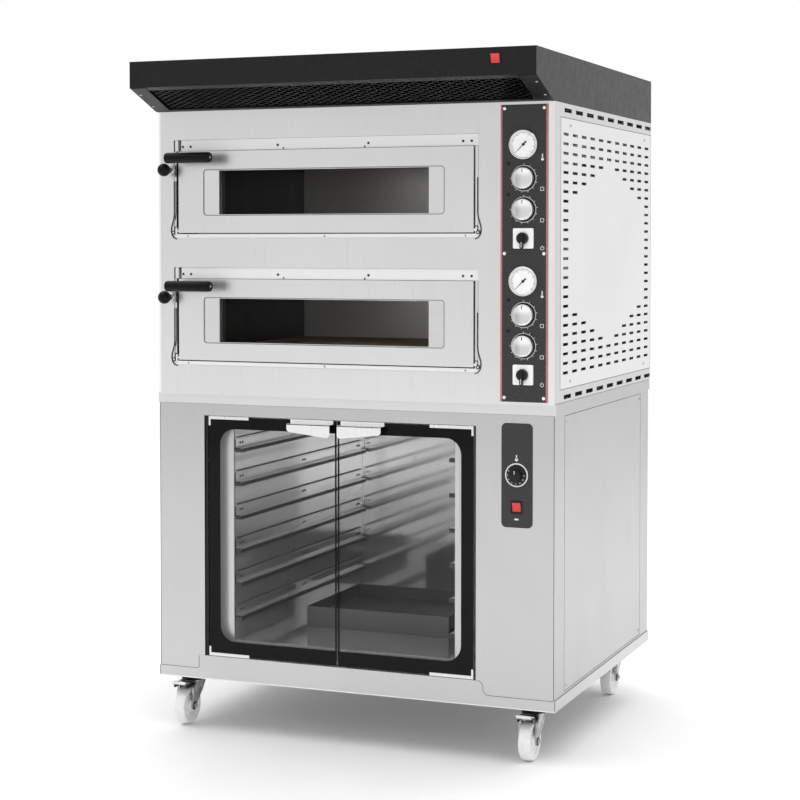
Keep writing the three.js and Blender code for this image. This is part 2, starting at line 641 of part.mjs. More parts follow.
function bakingChamber() {
  const c = chamber;
  const [x0, x1] = [recess.left + gap, recess.right - gap];
  const [z0, z1] = [recess.bottom + gap, recess.top - gap];
  const end = frontY + c.depth;
  const flange = [flangeBack - sheet, flangeBack];
  let body = join(
    block([x0, x1], flange, [z0, z1]),
    block([c.left - sheet, c.right + sheet], [flangeBack - 1, end + sheet],
      [c.floor - sheet, c.ceiling + sheet]),
    block([x0, x1], [plateFront + 1, flangeBack - 1], [z0, recess.bottom + sillRail]),
    block([post.at[1] + post.width, x1], [plateFront + 3, flangeBack - 1], [recess.top - header, z1]),
    ...post.at.map((x) => block([Math.max(x, x0), x + post.width], [plateFront + 3, flangeBack - 1],
      [recess.top - header, z1])));
  body = cut(body, block([c.left, c.right], [flange[0] - 1, end], [c.floor, c.ceiling]));
  for (const y of chamberLead) {
    body = cut(body, rod('x', [c.right, y, elementZ], elementBar + 1, [-5, 5], 8));
  }
  for (const [x, side] of [[doorLeft, -1], [doorRight, 1]]) {
    const ear = side < 0 ? [x - doorAxis.reach, x - 5] : [x + 5, x + doorAxis.reach];
    const lug = block(ear, [doorAxis.y - 7, flangeBack - 1], [recess.bottom + sillRail - 1, doorAxis.z + 8]);
    body = cut(join(body, lug),
      rod('x', [x, doorAxis.y, doorAxis.z], doorAxis.pin + runFit,
        [-doorAxis.reach - 2, doorAxis.reach + 2], 8));
  }
  return body;
}

const stone = { thick: 16, side: 4, front: 8 };
const elementBar = 4;
const elementZ = chamber.ceiling - 10;
const chamberLead = [frontY + 120, frontY + ovenDepth - 340];

const deckStone = () => block([chamber.left + stone.side, chamber.right - stone.side],
  [flangeBack + stone.front, frontY + chamber.depth - stone.side],
  [chamber.floor + gap, chamber.floor + stone.thick]);

// A heating element that runs in long bends under the chamber's ceiling.
function chamberHeater() {
  const [near, far] = chamberLead;
  const runs = 4;
  const turnX = [chamber.left + 40, chamber.right - 40];
  const points = [[chamber.right + 20, near]];
  for (let i = 0; i < runs; i += 1) {
    const y = near + ((far - near) * i) / (runs - 1);
    const ends = i % 2 === 0 ? [turnX[1], turnX[0]] : turnX;
    points.push([ends[0], y], [ends[1], y]);
  }
  points.push([chamber.right + 20, far]);
  return bentBar(points.map(([x, y]) => [x, y, elementZ]), elementBar, 30);
}

// ---- oven casing and its vents ----
// A pocket in the back wall with the mains cable's gland, so that it stays inside the wall.
const inlet = { x: 380, z: ovenBottom + 90, half: 34, depth: 32, gland: 13, bore: 7, length: 22 };

function addInlet(body) {
  const { x, z, half, depth, gland, bore, length } = inlet;
  const floor = backY - depth;
  const wide = (grow) => [[x - half - grow, x + half + grow], [z - half - grow, z + half + grow]];
  const [outerX, outerZ] = wide(sheet);
  const [innerX, innerZ] = wide(0);
  const pocket = block(outerX, [floor - sheet, backY], outerZ);
  const room = block(innerX, [floor, backY + 1], innerZ);
  const nut = rod('y', [x, floor, z], gland, [-length, 1], 6);
  const wireWay = rod('y', [x, floor, z], bore, [-length - 1, sheet + 1], 10);
  return cut(join(cut(join(body, pocket), room), nut), wireWay);
}

const stripSlot = {
  count: 9, length: 60, height: 10, first: 103, pitch: (ovenDepth - 137.6) / 8, topZ: hoodBottom - 16.5,
  lowZ: ovenBottom + 12,
};
const ventSlot = {
  columns: 11, rows: 26, length: 42, height: 7, first: 87, pitch: (ovenDepth - 136) / 10,
  top: hoodBottom - 73.5, drop: (ovenHeight - 143.5) / 25,
};

function ovenCasing() {
  const [y0, z0, z1] = [frontY + gap, ovenBottom, hoodBottom - gap];
  let body = cut(block([-halfWidth, halfWidth], [y0, backY], [z0, z1]),
    block([sheet - halfWidth, halfWidth - sheet], [y0 - 1, backY - sheet], [z0 + sheet, z1 - sheet]));
  body = panelSeat(body, ventPanel, [z0, z1]);
  for (let i = 0; i < stripSlot.count; i += 1) {
    const y = frontY + stripSlot.first + i * stripSlot.pitch;
    const [a, b] = [stripSlot.length / 2, stripSlot.height / 2];
    for (const z of [stripSlot.topZ, stripSlot.lowZ]) {
      body = cut(body, block([halfWidth - 2 * sheet - 1, halfWidth + 1], [y - a, y + a], [z - b, z + b]));
    }
  }
  return addInlet(body);
}

// The first column left out of a row of the vent panel: the solid field in the middle is a
// rough circle, and the columns beside it are the same at both ends of the row.
function solidFrom(row) {
  const fromEdge = Math.min(row, ventSlot.rows - 1 - row);
  return Math.max(1, 8 - fromEdge);
}

function ventPanelSheet() {
  const { y0, y1, z0, z1 } = ventPanel;
  const [a, b] = [ventSlot.length / 2, ventSlot.height / 2];
  const slots = [];
  for (let row = 0; row < ventSlot.rows; row += 1) {
    for (let column = 0; column < ventSlot.columns; column += 1) {
      const first = solidFrom(row);
      if (column >= first && column < ventSlot.columns - first) continue;
      const y = frontY + ventSlot.first + column * ventSlot.pitch;
      const z = ventSlot.top - row * ventSlot.drop;
      slots.push(block([halfWidth - sheet - 1, halfWidth + 1], [y - a, y + a], [z - b, z + b]));
    }
  }
  return cut(block(panelSpan, [y0, y1], [z0, z1]), ...slots);
}

// ---- hood ----
const fascia = 65;
const flangeSide = 22; // solid strip at each side of the grille
const grilleEdge = { front: 16, rear: 8 };
const slopeLow = { y: plateFront, z: hoodBottom };
const slopeHigh = { y: frontY - hoodReach, z: hoodTop - fascia };
const slope = (slopeHigh.z - slopeLow.z) / (slopeLow.y - slopeHigh.y);
const slopeZ = (y) => slopeLow.z + (slopeLow.y - y) * slope;
const slopeSheet = sheet * Math.hypot(1, slope); // the sloped sheet's height, measured upright

function hoodShell() {
  const [front, back] = [slopeHigh.y, backY];
  const outer = [[front, slopeHigh.z], [slopeLow.y, slopeLow.z], [back, hoodBottom],
    [back, hoodTop], [front, hoodTop]];
  const inner = [[front + sheet, slopeZ(front + sheet) + slopeSheet], [slopeLow.y, slopeLow.z + slopeSheet],
    [back - sheet, hoodBottom + sheet], [back - sheet, hoodTop - sheet], [front + sheet, hoodTop - sheet]];
  let body = cut(prism('x', outer, [-halfWidth, halfWidth]),
    prism('x', inner, [sheet - halfWidth, halfWidth - sheet]));
  const [a, b] = [front + grilleEdge.front, slopeLow.y - grilleEdge.rear];
  const way = [[a, slopeZ(a) - 5], [b, slopeZ(b) - 5], [b, slopeZ(b) + 5], [a, slopeZ(a) + 5]];
  body = cut(body, prism('x', way, [flangeSide - halfWidth, halfWidth - flangeSide]));
  const socket = rockerSocket(hoodRocker, front);
  return cut(join(body, socket.outer), socket.inner);
}

// The grille lies on the sloped sheet's inner face, over the opening.
function hoodGrille() {
  const [a, b] = [slopeHigh.y + grilleEdge.front - 10, slopeLow.y - grilleEdge.rear + 6];
  const rise = slopeSheet + gap;
  const outline = [[a, slopeZ(a) + rise], [b, slopeZ(b) + rise], [b, slopeZ(b) + rise + sheet],
    [a, slopeZ(a) + rise + sheet]];
  return prism('x', outline, [8 - halfWidth, halfWidth - 8]);
}

// ---- proofer knob ----
const prooferPlateFace = frontY - gap - slimSheet;

function prooferKnobBody() {
  const { radius: r, shaft } = prooferKnob;
  const spindle = [[0, -18], [shaft, -18], [shaft, gap]];
  const cap = [[r, gap], [r, 4], [r - 7, 5], [r - 8.5, 18], [0, 18]];
  return turned('y', [prooferKnob.x, prooferPlateFace, prooferKnob.z], [...spindle, ...cap], 16);
}

function prooferControlPlate() {
  const { x0, x1, z0, z1, round } = prooferPlate;
  const [w, h] = [rocker.width / 2 + runFit, rocker.height / 2 + runFit];
  return cut(prism('y', roundedRect(x0, x1, z0, z1, round), [prooferPlateFace, frontY - gap]),
    rod('y', [prooferKnob.x, frontY, prooferKnob.z], prooferKnob.shaft + runFit, [-5, 5], 8),
    block([prooferRocker.x - w, prooferRocker.x + w], [frontY - 5, frontY + 5],
      [prooferRocker.z - h, prooferRocker.z + h]));
}

// ---- casters ----
// The fork in its own frame: the swivel axis is z, the floor is z = 0 and the wheel is towards -y.
function casterFork(withPedal) {
  const half = forkInside / 2;
  const legs = [-1, 1].map((side) => {
    const outline = new THREE.Shape();
    outline.moveTo(-30, crownZ);
    outline.absarc(-casterTrail, wheelRadius, 11, Math.PI, Math.PI * 2);
    outline.lineTo(-casterTrail + 22, wheelRadius + 22);
    outline.lineTo(30, crownZ - 8);
    outline.lineTo(30, crownZ);
    const x = side < 0 ? [-half - forkSheet, -half] : [half, half + forkSheet];
    return prism('x', outline, x);
  });
  const crown = block([-half - 1, half + 1], [-30, 30], [crownZ - forkSheet, crownZ]);
  const underPlate = casterHeight - casterPlate.thick - gap;
  const cup = [[0, crownZ - 1], [raceRadius + 4, crownZ - 1], [raceRadius + 4, crownZ + 5]];
  const neck = [[raceRadius - 3, crownZ + 9], [raceRadius - 3, underPlate]];
  const pin = [[swivelPin, underPlate], [swivelPin, casterHeight + 6], [0, casterHeight + 6]];
  const race = turned('z', [0, 0, 0], [...cup, ...neck, ...pin], 12);
  const axleEnd = half + forkSheet + 5;
  const axle = rod('x', [0, -casterTrail, wheelRadius], axleRadius, [-axleEnd, axleEnd], 12);
  const nuts = [-1, 1].map((side) => rod('x', [side * (half + forkSheet), -casterTrail, wheelRadius], 8.5,
    side < 0 ? [-6, 1] : [-1, 6], 6));
  let body = join(...legs, crown, race, axle, ...nuts);
  if (withPedal) {
    for (const side of [-1, 1]) {
      const x = side < 0 ? [-half - forkSheet, -half] : [half, half + forkSheet];
      body = cut(join(body, block(x, [pedal.y - 7, -29], [pedal.z - 7, crownZ])),
        rod('x', [0, pedal.y, pedal.z], pedal.pin + runFit, [-half - 9, half + 9], 10));
    }
  }
  return body;
}

const pedal = { y: -38, z: crownZ - 5, pin: 3, reach: 44, width: 40, thick: 4, rise: 8 };

function brakePedal() {
  const half = forkInside / 2 - 1;
  const { y, z, pin, thick, reach, rise } = pedal;
  const tip = y - reach;
  const [low, high] = [z + rise - thick / 2, z + rise + thick / 2];
  const outline = [[y + 4, z - 4], [y + 4, z + 3], [y - 10, z + 3 + thick / 2], [tip, high],
    [tip, low], [y - 8, z - 4 + thick / 2]];
  const tongue = prism('x', outline, [-half, half]);
  const pad = block([-pedal.width / 2, pedal.width / 2], [tip - 6, tip + 14], [low, high]);
  return join(tongue, pad, rod('x', [0, y, z], pin, [-half - forkSheet - 2.5, half + forkSheet + 2.5], 10));
}

function casterWheel() {
  const [rim, hub, r] = [wheelWidth / 2, hubWidth / 2, wheelRadius];
  const bore = axleRadius + gap;
  const side = [[bore, hub], [hubRadius, hub], [hubRadius + 2, 7], [r - 12, 7], [r - 9, rim], [r, rim - 5]];
  const far = side.map(([a, b]) => [a, -b]);
  const profile = [...far, ...side.reverse(), far[0]];
  const geometry = new THREE.LatheGeometry(profile.map((p) => new THREE.Vector2(...p)), 18);
  return solid(geometry.rotateZ(-Math.PI / 2));
}

function addCaster(name, x, y, withPedal) {
  const stand = new THREE.Group();
  stand.position.set(x, y, 0);
  group.add(stand);
  place(`caster_fork_${name}`, casterFork(withPedal), steel, stand);
  if (withPedal) place(`brake_pedal_${name}`, brakePedal(), steel, stand);
  const wheelSeat = new THREE.Group();
  wheelSeat.position.set(0, -casterTrail, wheelRadius);
  stand.add(wheelSeat);
  place(`caster_wheel_${name}`, casterWheel(), whitePlastic, wheelSeat);
}

// ---- the assembly ----
place('base_frame', baseFrame(), steel);
for (const [sideName, x] of Object.entries(casterX)) {
  addCaster(`front_${sideName}`, x, casterY.front, true);
  addCaster(`rear_${sideName}`, x, casterY.rear, false);
}

place('proofer_casing', prooferCasing(), steel);
place('proofer_side_panel', prooferSidePanel(), steel);
place('proofer_front_frame', prooferFrontFrame(), steel);
place('proofer_liner', prooferLiner(), steel);
place('water_tray', waterTray(), steel);
place('proofer_heater', prooferHeater(), darkSteel);
place('proofer_control_plate', prooferControlPlate(), stripedFoil);
place('proofer_knob', prooferKnobBody(), blackPlastic);
place('proofer_switch', rockerKey(prooferRocker, frontY), redPlastic);
for (const [name, side] of [['left', -1], ['right', 1]]) {
  place(`tray_wall_${name}`, trayWall(side), steel);
  place(`proofer_door_${name}`, doorGlass(side), clearGlass);
  place(`proofer_hinge_${name}`, doorHinge(side), steel);
  place(`proofer_pull_${name}`, doorPull(side), steel);
}

place('oven_casing', ovenCasing(), steel);
place('oven_vent_panel', ventPanelSheet(), steel);
place('oven_front_plate', ovenFrontPlate(), steel);
place('oven_control_plate', ovenControlPlate(), stripedFoil);
place('control_chassis', controlChassis(), blackPlastic);
for (const [name, drop] of decks) {
  const lowered = (body) => body.translate([0, 0, drop]);
  place(`chamber_${name}`, lowered(bakingChamber()), darkSteel);
  place(`stone_${name}`, lowered(deckStone()), firebrick);
  place(`heater_${name}`, lowered(chamberHeater()), darkSteel);
  place(`deck_door_${name}`, lowered(deckDoor()), steel);
  place(`door_glass_${name}`, lowered(block(...paneBox(0))), clearGlass);
  place(`door_handle_${name}`, lowered(doorHandle()), blackPlastic);
  place(`vent_knob_${name}`, ventKnob(drop), blackPlastic);
  place(`gauge_case_${name}`, gaugeCase(drop), steel);
  place(`gauge_needle_${name}`, gaugeNeedle(drop), blackPlastic);
  place(`cam_knob_${name}`, camKnob(cam.z + drop), blackPlastic);
  knob.zs.forEach((z, i) => {
    place(`thermostat_knob_${name}_${i + 1}`, thermostatKnob(z + drop), steel);
  });
}

place('hood_shell', hoodShell(), blackPaint);
place('hood_grille', hoodGrille(), blackPaint);
place('hood_switch', rockerKey(hoodRocker, frontY - hoodReach), redPlastic);

export default group;
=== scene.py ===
import math

import bmesh
import bpy
import numpy as np
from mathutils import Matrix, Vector


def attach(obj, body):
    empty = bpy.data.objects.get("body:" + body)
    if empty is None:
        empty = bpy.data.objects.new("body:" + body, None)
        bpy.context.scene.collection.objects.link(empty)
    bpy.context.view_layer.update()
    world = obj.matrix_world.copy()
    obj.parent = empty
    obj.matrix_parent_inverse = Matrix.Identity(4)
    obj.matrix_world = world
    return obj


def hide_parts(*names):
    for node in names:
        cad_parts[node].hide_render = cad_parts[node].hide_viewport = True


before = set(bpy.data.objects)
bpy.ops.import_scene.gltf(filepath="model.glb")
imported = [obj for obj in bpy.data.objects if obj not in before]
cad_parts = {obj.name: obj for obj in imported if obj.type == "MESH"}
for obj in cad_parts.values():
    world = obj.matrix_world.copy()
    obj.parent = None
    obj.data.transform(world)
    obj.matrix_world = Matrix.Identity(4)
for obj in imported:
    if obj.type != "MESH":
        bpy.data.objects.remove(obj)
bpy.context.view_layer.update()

milli = 0.001
decks = {"upper": 0, "lower": -323}
axes = {"x": 0, "y": 1, "z": 2}


# A number on its way through one material. Ordinary arithmetic makes Math nodes.
class Wire:
    def __init__(self, paint, socket):
        self.paint = paint
        self.socket = socket

    def __add__(self, other):
        return self.paint.math("ADD", self, other)

    def __radd__(self, other):
        return self.paint.math("ADD", other, self)

    def __sub__(self, other):
        return self.paint.math("SUBTRACT", self, other)

    def __rsub__(self, other):
        return self.paint.math("SUBTRACT", other, self)

    def __mul__(self, other):
        return self.paint.math("MULTIPLY", self, other)

    def __rmul__(self, other):
        return self.paint.math("MULTIPLY", other, self)

    def __truediv__(self, other):
        return self.paint.math("DIVIDE", self, other)

    def __rtruediv__(self, other):
        return self.paint.math("DIVIDE", other, self)


# One material's node tree, with a Principled shader unless another surface is joined.
class Paint:
    def __init__(self, name, **values):
        self.material = bpy.data.materials.new(name)
        self.material.use_nodes = True
        self.tree = self.material.node_tree
        self.tree.nodes.clear()
        self.output = self.tree.nodes.new("ShaderNodeOutputMaterial")
        self.shader = self.add("BsdfPrincipled", inputs=values)
        self.tree.links.new(self.shader.socket, self.output.inputs["Surface"])

    # Makes any node: its type, its settings with any ramp stops, its inputs, and which output to use.
    def add(self, kind, settings=None, inputs=None, stops=None, output=0):
        node = self.tree.nodes.new("ShaderNode" + kind)
        for key, value in (settings or {}).items():
            setattr(node, key, value)
        for index, (place, colour) in enumerate(stops or []):
            if index > 1:
                node.color_ramp.elements.new(place)
            node.color_ramp.elements[index].position = place
            node.color_ramp.elements[index].color = (*colour, 1)
        for key, value in (inputs or {}).items():
            if isinstance(value, Wire):
                self.tree.links.new(value.socket, node.inputs[key])
            else:
                node.inputs[key].default_value = value
        return Wire(self, node.outputs[output])

    def math(self, operation, *values, clamp=False):
        return self.add("Math", {"operation": operation, "use_clamp": clamp}, dict(enumerate(values)))

    # The place of the shaded point in metres, stretched along each axis.
    def place(self, scale=(1, 1, 1)):
        coords = self.add("TexCoord", output="Object")
        return self.add("VectorMath", {"operation": "MULTIPLY"}, {0: coords, 1: scale})

    # The three coordinates of the shaded point, in millimetres.
    def xyz(self):
        split = self.add("SeparateXYZ", inputs={0: self.place((1000, 1000, 1000))})
        return [Wire(self, split.socket.node.outputs[index]) for index in range(3)]

    def noise(self, scale, detail=3, rough=0.55, stretch=(1, 1, 1)):
        inputs = {"Vector": self.place(stretch), "Scale": scale, "Detail": detail, "Roughness": rough}
        return self.add("TexNoise", {"noise_dimensions": "3D"}, inputs)

    # A value moved from one range to another and held inside it.
    def span(self, value, low, high, start=0, end=1):
        inputs = {"Value": value, "From Min": low, "From Max": high, "To Min": start, "To Max": end}
        return self.add("MapRange", {"clamp": True}, inputs)

    # Goes from one colour to another as the factor goes from 0 to 1.
    def mix(self, factor, first, second):
        colours = {0: factor, 6: solid(first), 7: solid(second)}
        return self.add("Mix", {"data_type": "RGBA"}, colours, output=2)

    # Joins wires or values to the shader's own sockets.
    def set(self, **wires):
        for key, value in wires.items():
            socket = self.shader.socket.node.inputs[key.replace("_", " ")]
            if isinstance(value, Wire):
                self.tree.links.new(value.socket, socket)
            else:
                socket.default_value = value
        return self

    # Raises the surface by a height, in metres, on normals rounded over the edges by a radius.
    def relief(self, height, depth, edge=0.0006, strength=1.0):
        inputs = {"Height": height, "Distance": depth, "Strength": strength}
        if edge:
            inputs["Normal"] = self.add("Bevel", {"samples": 4}, {"Radius": edge})
        return self.set(Normal=self.add("Bump", inputs=inputs))


def solid(colour):
    return (*colour, 1) if isinstance(colour, tuple) and len(colour) == 3 else colour


# A display value from 0 to 255 as linear light: ((v / 255 + 0.055) / 1.055) ^ 2.4.
def light(value):
    return ((value / 255 + 0.055) / 1.055) ** 2.4


def grey(value, warm=0.0):
    return (light(value) * (1 + warm), light(value), light(value) * (1 - warm))


# Brushed sheet: noise drawn out along the grain darkens it, roughens it and scores it lightly.
# A painted shade is (axis, from, to, tone): the tone fades into the sheet's own between two places on that
# axis. It paints light and shade that fall on the sheet by place.
def brushed(name, tone, stretch, rough=(0.26, 0.36), depth=0.000005, paintedShading=()):
    paint = Paint(name, Metallic=1.0)
    grain = paint.noise(1, 4, 0.65, stretch)
    cloud = paint.noise(2.2, 2)
    smudge = paint.noise(9, 3, 0.6, (1, 1, 0.6))
    base = paint.mix(paint.span(grain, 0.3, 0.7), grey(tone - 2), grey(tone + 2))
    base = paint.mix(paint.span(cloud, 0.35, 0.7, 0, 0.3), base, grey(tone - 14))
    for axis, low, high, other in paintedShading:
        base = paint.mix(paint.span(paint.xyz()[axes[axis]], low, high), grey(other), base)
    paint.set(Base_Color=base)
    worn = paint.span(grain, 0.25, 0.75, rough[0], rough[1])
    paint.set(Roughness=worn + paint.span(smudge, 0.5, 0.75, 0, 0.05))
    return paint.relief(grain, depth)


# A plain finish with mottling: its tone, the amount of mottling, its gloss and a fine orange peel.
def coated(name, low, high, rough, metal=0.0, size=30, depth=0.00006, edge=0.0006, **values):
    paint = Paint(name, Metallic=metal, **values)
    cloud = paint.noise(size, 4, 0.6)
    paint.set(Base_Color=paint.mix(paint.span(cloud, 0.3, 0.7), low, high))
    paint.set(Roughness=paint.span(cloud, 0.3, 0.7, rough[0], rough[1]))
    return paint.relief(paint.noise(size * 40, 2), depth, edge)


# Glass seen through: a tinted see-through surface under a reflection that grows at glancing angles.
def clearPane(name, tint, bounce=0.35, dust=0.003):
    paint = Paint(name)
    edge = paint.add("Fresnel", inputs={"IOR": 1.45})
    film = paint.span(paint.noise(14, 3), 0.45, 0.75, 0, dust)
    through = paint.add("BsdfTransparent", inputs={"Color": solid(tint)})
    shine = paint.add("BsdfGlossy", inputs={"Color": (1, 1, 1, 1), "Roughness": 0.02})
    both = paint.add("MixShader", inputs={0: edge * bounce + film, 1: through, 2: shine})
    paint.tree.links.new(both.socket, paint.output.inputs["Surface"])
    return paint


# Printed foil: stripes at a slant, black and silver, each pitch apart, with speckle in the silver.
def stripedFoil(name, pitch=6.2, slant=51):
    paint = Paint(name)
    x, y, z = paint.xyz()
    turn = math.radians(slant)
    along = (x * math.sin(turn) - z * math.cos(turn)) / pitch
    wave = paint.math("PINGPONG", along, 0.5)
    stripe = paint.span(wave, 0.24, 0.29)
    speck = paint.noise(900, 2)
    silver = paint.mix(paint.span(speck, 0.4, 0.65), grey(54), grey(80))
    paint.set(Base_Color=paint.mix(stripe, grey(30), silver))
    paint.set(Metallic=stripe * 0.55, Roughness=paint.span(speck, 0.3, 0.7, 0.3, 0.42))
    return paint.relief(wave, 0.00003)


# Painted shade in the oven chambers: the left wall is painted near black, and the front edge, y below -356,
# is painted lighter.
chamberPaintedShade = [("x", -427.9, -427.5, 14), ("y", -356, -354, 240)]
# Painted shade on the proofer's rail walls: darker below z 470, and dark at the rails' front ends.
railPaintedShade = [("z", 470, 600, 205), ("y", -343.9, -343.2, 60)]
paints = {
    "front": brushed("brushedFront", 235, (420, 420, 2)),
    # Painted shade: the lower unit's brushed steel is a darker copy of the front's.
    "lower": brushed("brushedLower", 202, (420, 420, 2)),
    # Painted light and shade: the proofer's sides are darker still, and their front faces, y below -373, are
    # painted lighter.
    "lowerSide": brushed("brushedLowerSide", 186, (420, 420, 2), paintedShading=[("y", -373, -371, 228)]),
    "side": brushed("brushedSide", 208, (420, 420, 2)),
    "panel": brushed("perforatedSheet", 230, (200, 200, 5), (0.4, 0.55)),
    # The proofer liner is painted darker below z 470, as shade.
    "lined": brushed("linerSheet", 252, (300, 300, 3), (0.05, 0.1), 0.0000005, [("z", 470, 600, 205)]),
    "tray": brushed("trayPressing", 104, (3, 300, 300), (0.3, 0.42), 0.0000005),
    "rails": brushed("railSheet", 252, (300, 300, 3), (0.05, 0.1), 0.0000005, railPaintedShade),
    "lip": brushed("foldedLip", 232, (420, 420, 2), (0.24, 0.38)),
    # Painted shade: the pedal's underside, below z 108.5, is painted dark.
    "pedal": brushed("pressedPedal", 236, (4, 260, 260), (0.16, 0.24), 0.0000005, [("z", 108.5, 114.5, 46)]),
    "pull": brushed("polishedPull", 246, (420, 420, 2), (0.24, 0.36)),
    # Painted shade: the door's reveal faces, behind y -368, are painted dark as shade in the recess.
    "door": brushed("brushedDoor", 235, (420, 420, 2), paintedShading=[("y", -368, -373, 110)]),
    "bright": brushed("polishedStrip", 240, (4, 260, 260), (0.1, 0.16), 0.0000005),
    "zinc": coated("platedSteel", grey(176), grey(206), (0.2, 0.36), 1.0, 60),
    # The chamber sheet carries painted shade on its left wall and painted light at its front edge.
    "chamber": brushed("chamberSheet", 214, (60, 60, 4), (0.3, 0.45), 0.000004, chamberPaintedShade),
    "dark": coated("darkSteel", grey(58), grey(86), (0.35, 0.55), 0.9, 40),
    "coat": coated("blackCoat", grey(22), grey(28), (0.34, 0.44), 0.0, 50, 0.00006),
    "black": coated("blackPlastic", grey(9), grey(14), (0.24, 0.34), 0.0, 60, 0.00003),
    "grip": coated("gripPlastic", grey(7), grey(12), (0.3, 0.42), 0.0, 70, 0.00004),
    "print": coated("blackPrint", grey(14), grey(18), (0.06, 0.1), 0.0, 20, 0.0000002, 0),
    "nylon": coated("whiteNylon", grey(230, 0.006), grey(246, 0.003), (0.4, 0.52), 0.0, 90),
    "red": coated("redPlastic", (0.62, 0.035, 0.032), (0.74, 0.055, 0.05), (0.2, 0.3), 0.0, 50),
    "white": coated("whiteEnamel", grey(232), grey(244), (0.3, 0.4), 0.0, 40),
    "ink": coated("whitePrint", grey(222), grey(238), (0.4, 0.5), 0.0, 200),
    "pink": coated("redPrint", (0.46, 0.13, 0.15), (0.54, 0.19, 0.20), (0.35, 0.45), 0.0, 120),
    # Painted shade: the knob is darker on its left side, x below 445.
    "knob": brushed("silverKnob", 236, (160, 1, 1), (0.24, 0.34), 0.000001, [("x", 445, 455, 204)]),
    "dial": coated("whiteDial", grey(244), grey(252), (0.35, 0.45), 0.0, 40),
    "brick": coated("fireClay", (0.24, 0.16, 0.11), (0.36, 0.27, 0.19), (0.85, 0.95), 0.0, 90, 0.0004),
    "mesh": coated("expandedMetal", grey(12), grey(18), (0.35, 0.45), 0.2, 60),
    "bezel": coated("gaugeBezel", grey(214), grey(228), (0.16, 0.24), 1.0, 30),
    "stripes": stripedFoil("stripedFoil"),
    "pane": clearPane("doorPane", grey(250), 0.25, 0.001),
    "oven": clearPane("ovenPane", grey(236, 0.006), 0.04, 0.0005),
    "lens": clearPane("gaugeLens", grey(250)),
}
paints["lined"].set(Metallic=0.7)
paints["rails"].set(Metallic=0.7)
paints["lip"].set(Metallic=0.55)
paints["chamber"].set(Metallic=0.5)
paints["print"].set(Specular_IOR_Level=0.12)
paints["coat"].set(Specular_IOR_Level=0.22)
paints["grip"].set(Specular_IOR_Level=0.14)
paints["black"].set(Specular_IOR_Level=0.35)
paints["mesh"].set(Specular_IOR_Level=0.12)
# Painted light: a faint glow on the white enamel and on the gauge dial, which are no lamps.
paints["white"].set(Emission_Color=(1, 1, 1, 1), Emission_Strength=0.1)
paints["dial"].set(Emission_Color=(1, 1, 1, 1), Emission_Strength=0.25)


# Gives a CAD node its detailed finish.
def dress(finish, *names):
    for name in names:
        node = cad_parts[name]
        node.data.materials.clear()
        node.data.materials.append(paints[finish].material)


# Shapes: each is a pair of an array of points and a list of faces.
# Faces of a grid: corner (r, c) is point r * columns + c, and a closed side joins its last to its first.
def gridFaces(rows, columns, closeRows=False, closeColumns=False):
    r = np.arange(rows if closeRows else rows - 1)[:, None]
    c = np.arange(columns if closeColumns else columns - 1)[None, :]
    below = ((r + 1) % rows) * columns
    across = (c + 1) % columns
    corners = [r * columns + c, r * columns + across, below + across, below + c]
    return np.stack(np.broadcast_arrays(*corners), -1).reshape(-1, 4).tolist()


def gather(*shapes):
    points = []
    faces = []
    count = 0
    for spots, corners in shapes:
        points.append(spots)
        faces += [[index + count for index in face] for face in corners]
        count += len(spots)
    return np.concatenate(points), faces


def shift(shape, move):
    return shape[0] + np.array(move, float), shape[1]


# A profile of (radius, distance) pairs turned about an axis: the point is
# centre + distance * axis + radius * (cos t * first + sin t * second). "-y" points to the front.
def turned(profile, axis, centre, sides=40, hollow=False):
    sign = -1 if axis.startswith("-") else 1
    main = axes[axis[-1]]
    first, second = (main + 1) % 3, (main + 2) % 3
    profile = np.array(profile, float)
    t = np.arange(sides) * 2 * np.pi / sides
    points = np.zeros((len(profile), sides, 3))
    points[:, :, main] = sign * profile[:, 1][:, None]
    points[:, :, first] = profile[:, 0][:, None] * np.cos(t)
    points[:, :, second] = profile[:, 0][:, None] * np.sin(t) * sign
    points = points.reshape(-1, 3) + np.array(centre, float)
    faces = gridFaces(len(profile), sides, hollow, True)
    last = (len(profile) - 1) * sides
    return points, faces if hollow else faces + [list(range(sides)), list(range(last, last + sides))]


# A rectangle with round corners, from the lower right round to the lower left: a corner's points are
# its centre + r * (cos t, sin t).
def rounded(x0, x1, y0, y1, radius, steps=6):
    parts = []
    for corner, r in enumerate(np.broadcast_to(radius, 4)):
        t = np.radians(np.linspace(90 * corner - 90, 90 * corner, steps))
        x = x1 - r if corner < 2 else x0 + r
        y = y1 - r if corner in (1, 2) else y0 + r
        parts.append(np.stack([x + r * np.cos(t), y + r * np.sin(t)], -1))
    return np.concatenate(parts)


# A circle's outline about a point, from one angle to another in degrees.
def circle(x, y, radius, steps=32, start=0, end=360):
    t = np.radians(np.linspace(start, end, steps, endpoint=(end - start) % 360 != 0))
    return np.stack([x + radius * np.cos(t), y + radius * np.sin(t)], -1)


# Outline points laid in the plane across an axis, at a distance along it.
def lay(outline, axis, distance):
    main = axes[axis]
    others = [index for index in range(3) if index != main]
    points = np.zeros((len(outline), 3))
    points[:, others] = outline
    points[:, main] = distance
    return points


# An outline carried along an axis from one distance to another, closed by its two ends.
def slab(outline, axis, low, high):
    outline = np.array(outline, float)
    count = len(outline)
    points = np.concatenate([lay(outline, axis, low), lay(outline, axis, high)])
    faces = gridFaces(2, count, closeColumns=True)
    return points, faces + [list(range(count)), list(range(count, 2 * count))]


# The band between two outlines with the same number of points, carried along an axis.
def ringSlab(outer, inner, axis, low, high):
    loops = [lay(outer, axis, low), lay(outer, axis, high), lay(inner, axis, high), lay(inner, axis, low)]
    return np.concatenate(loops), gridFaces(4, len(outer), True, True)


def block(x, y, z):
    return slab([(x[0], y[0]), (x[1], y[0]), (x[1], y[1]), (x[0], y[1])], "z", z[0], z[1])


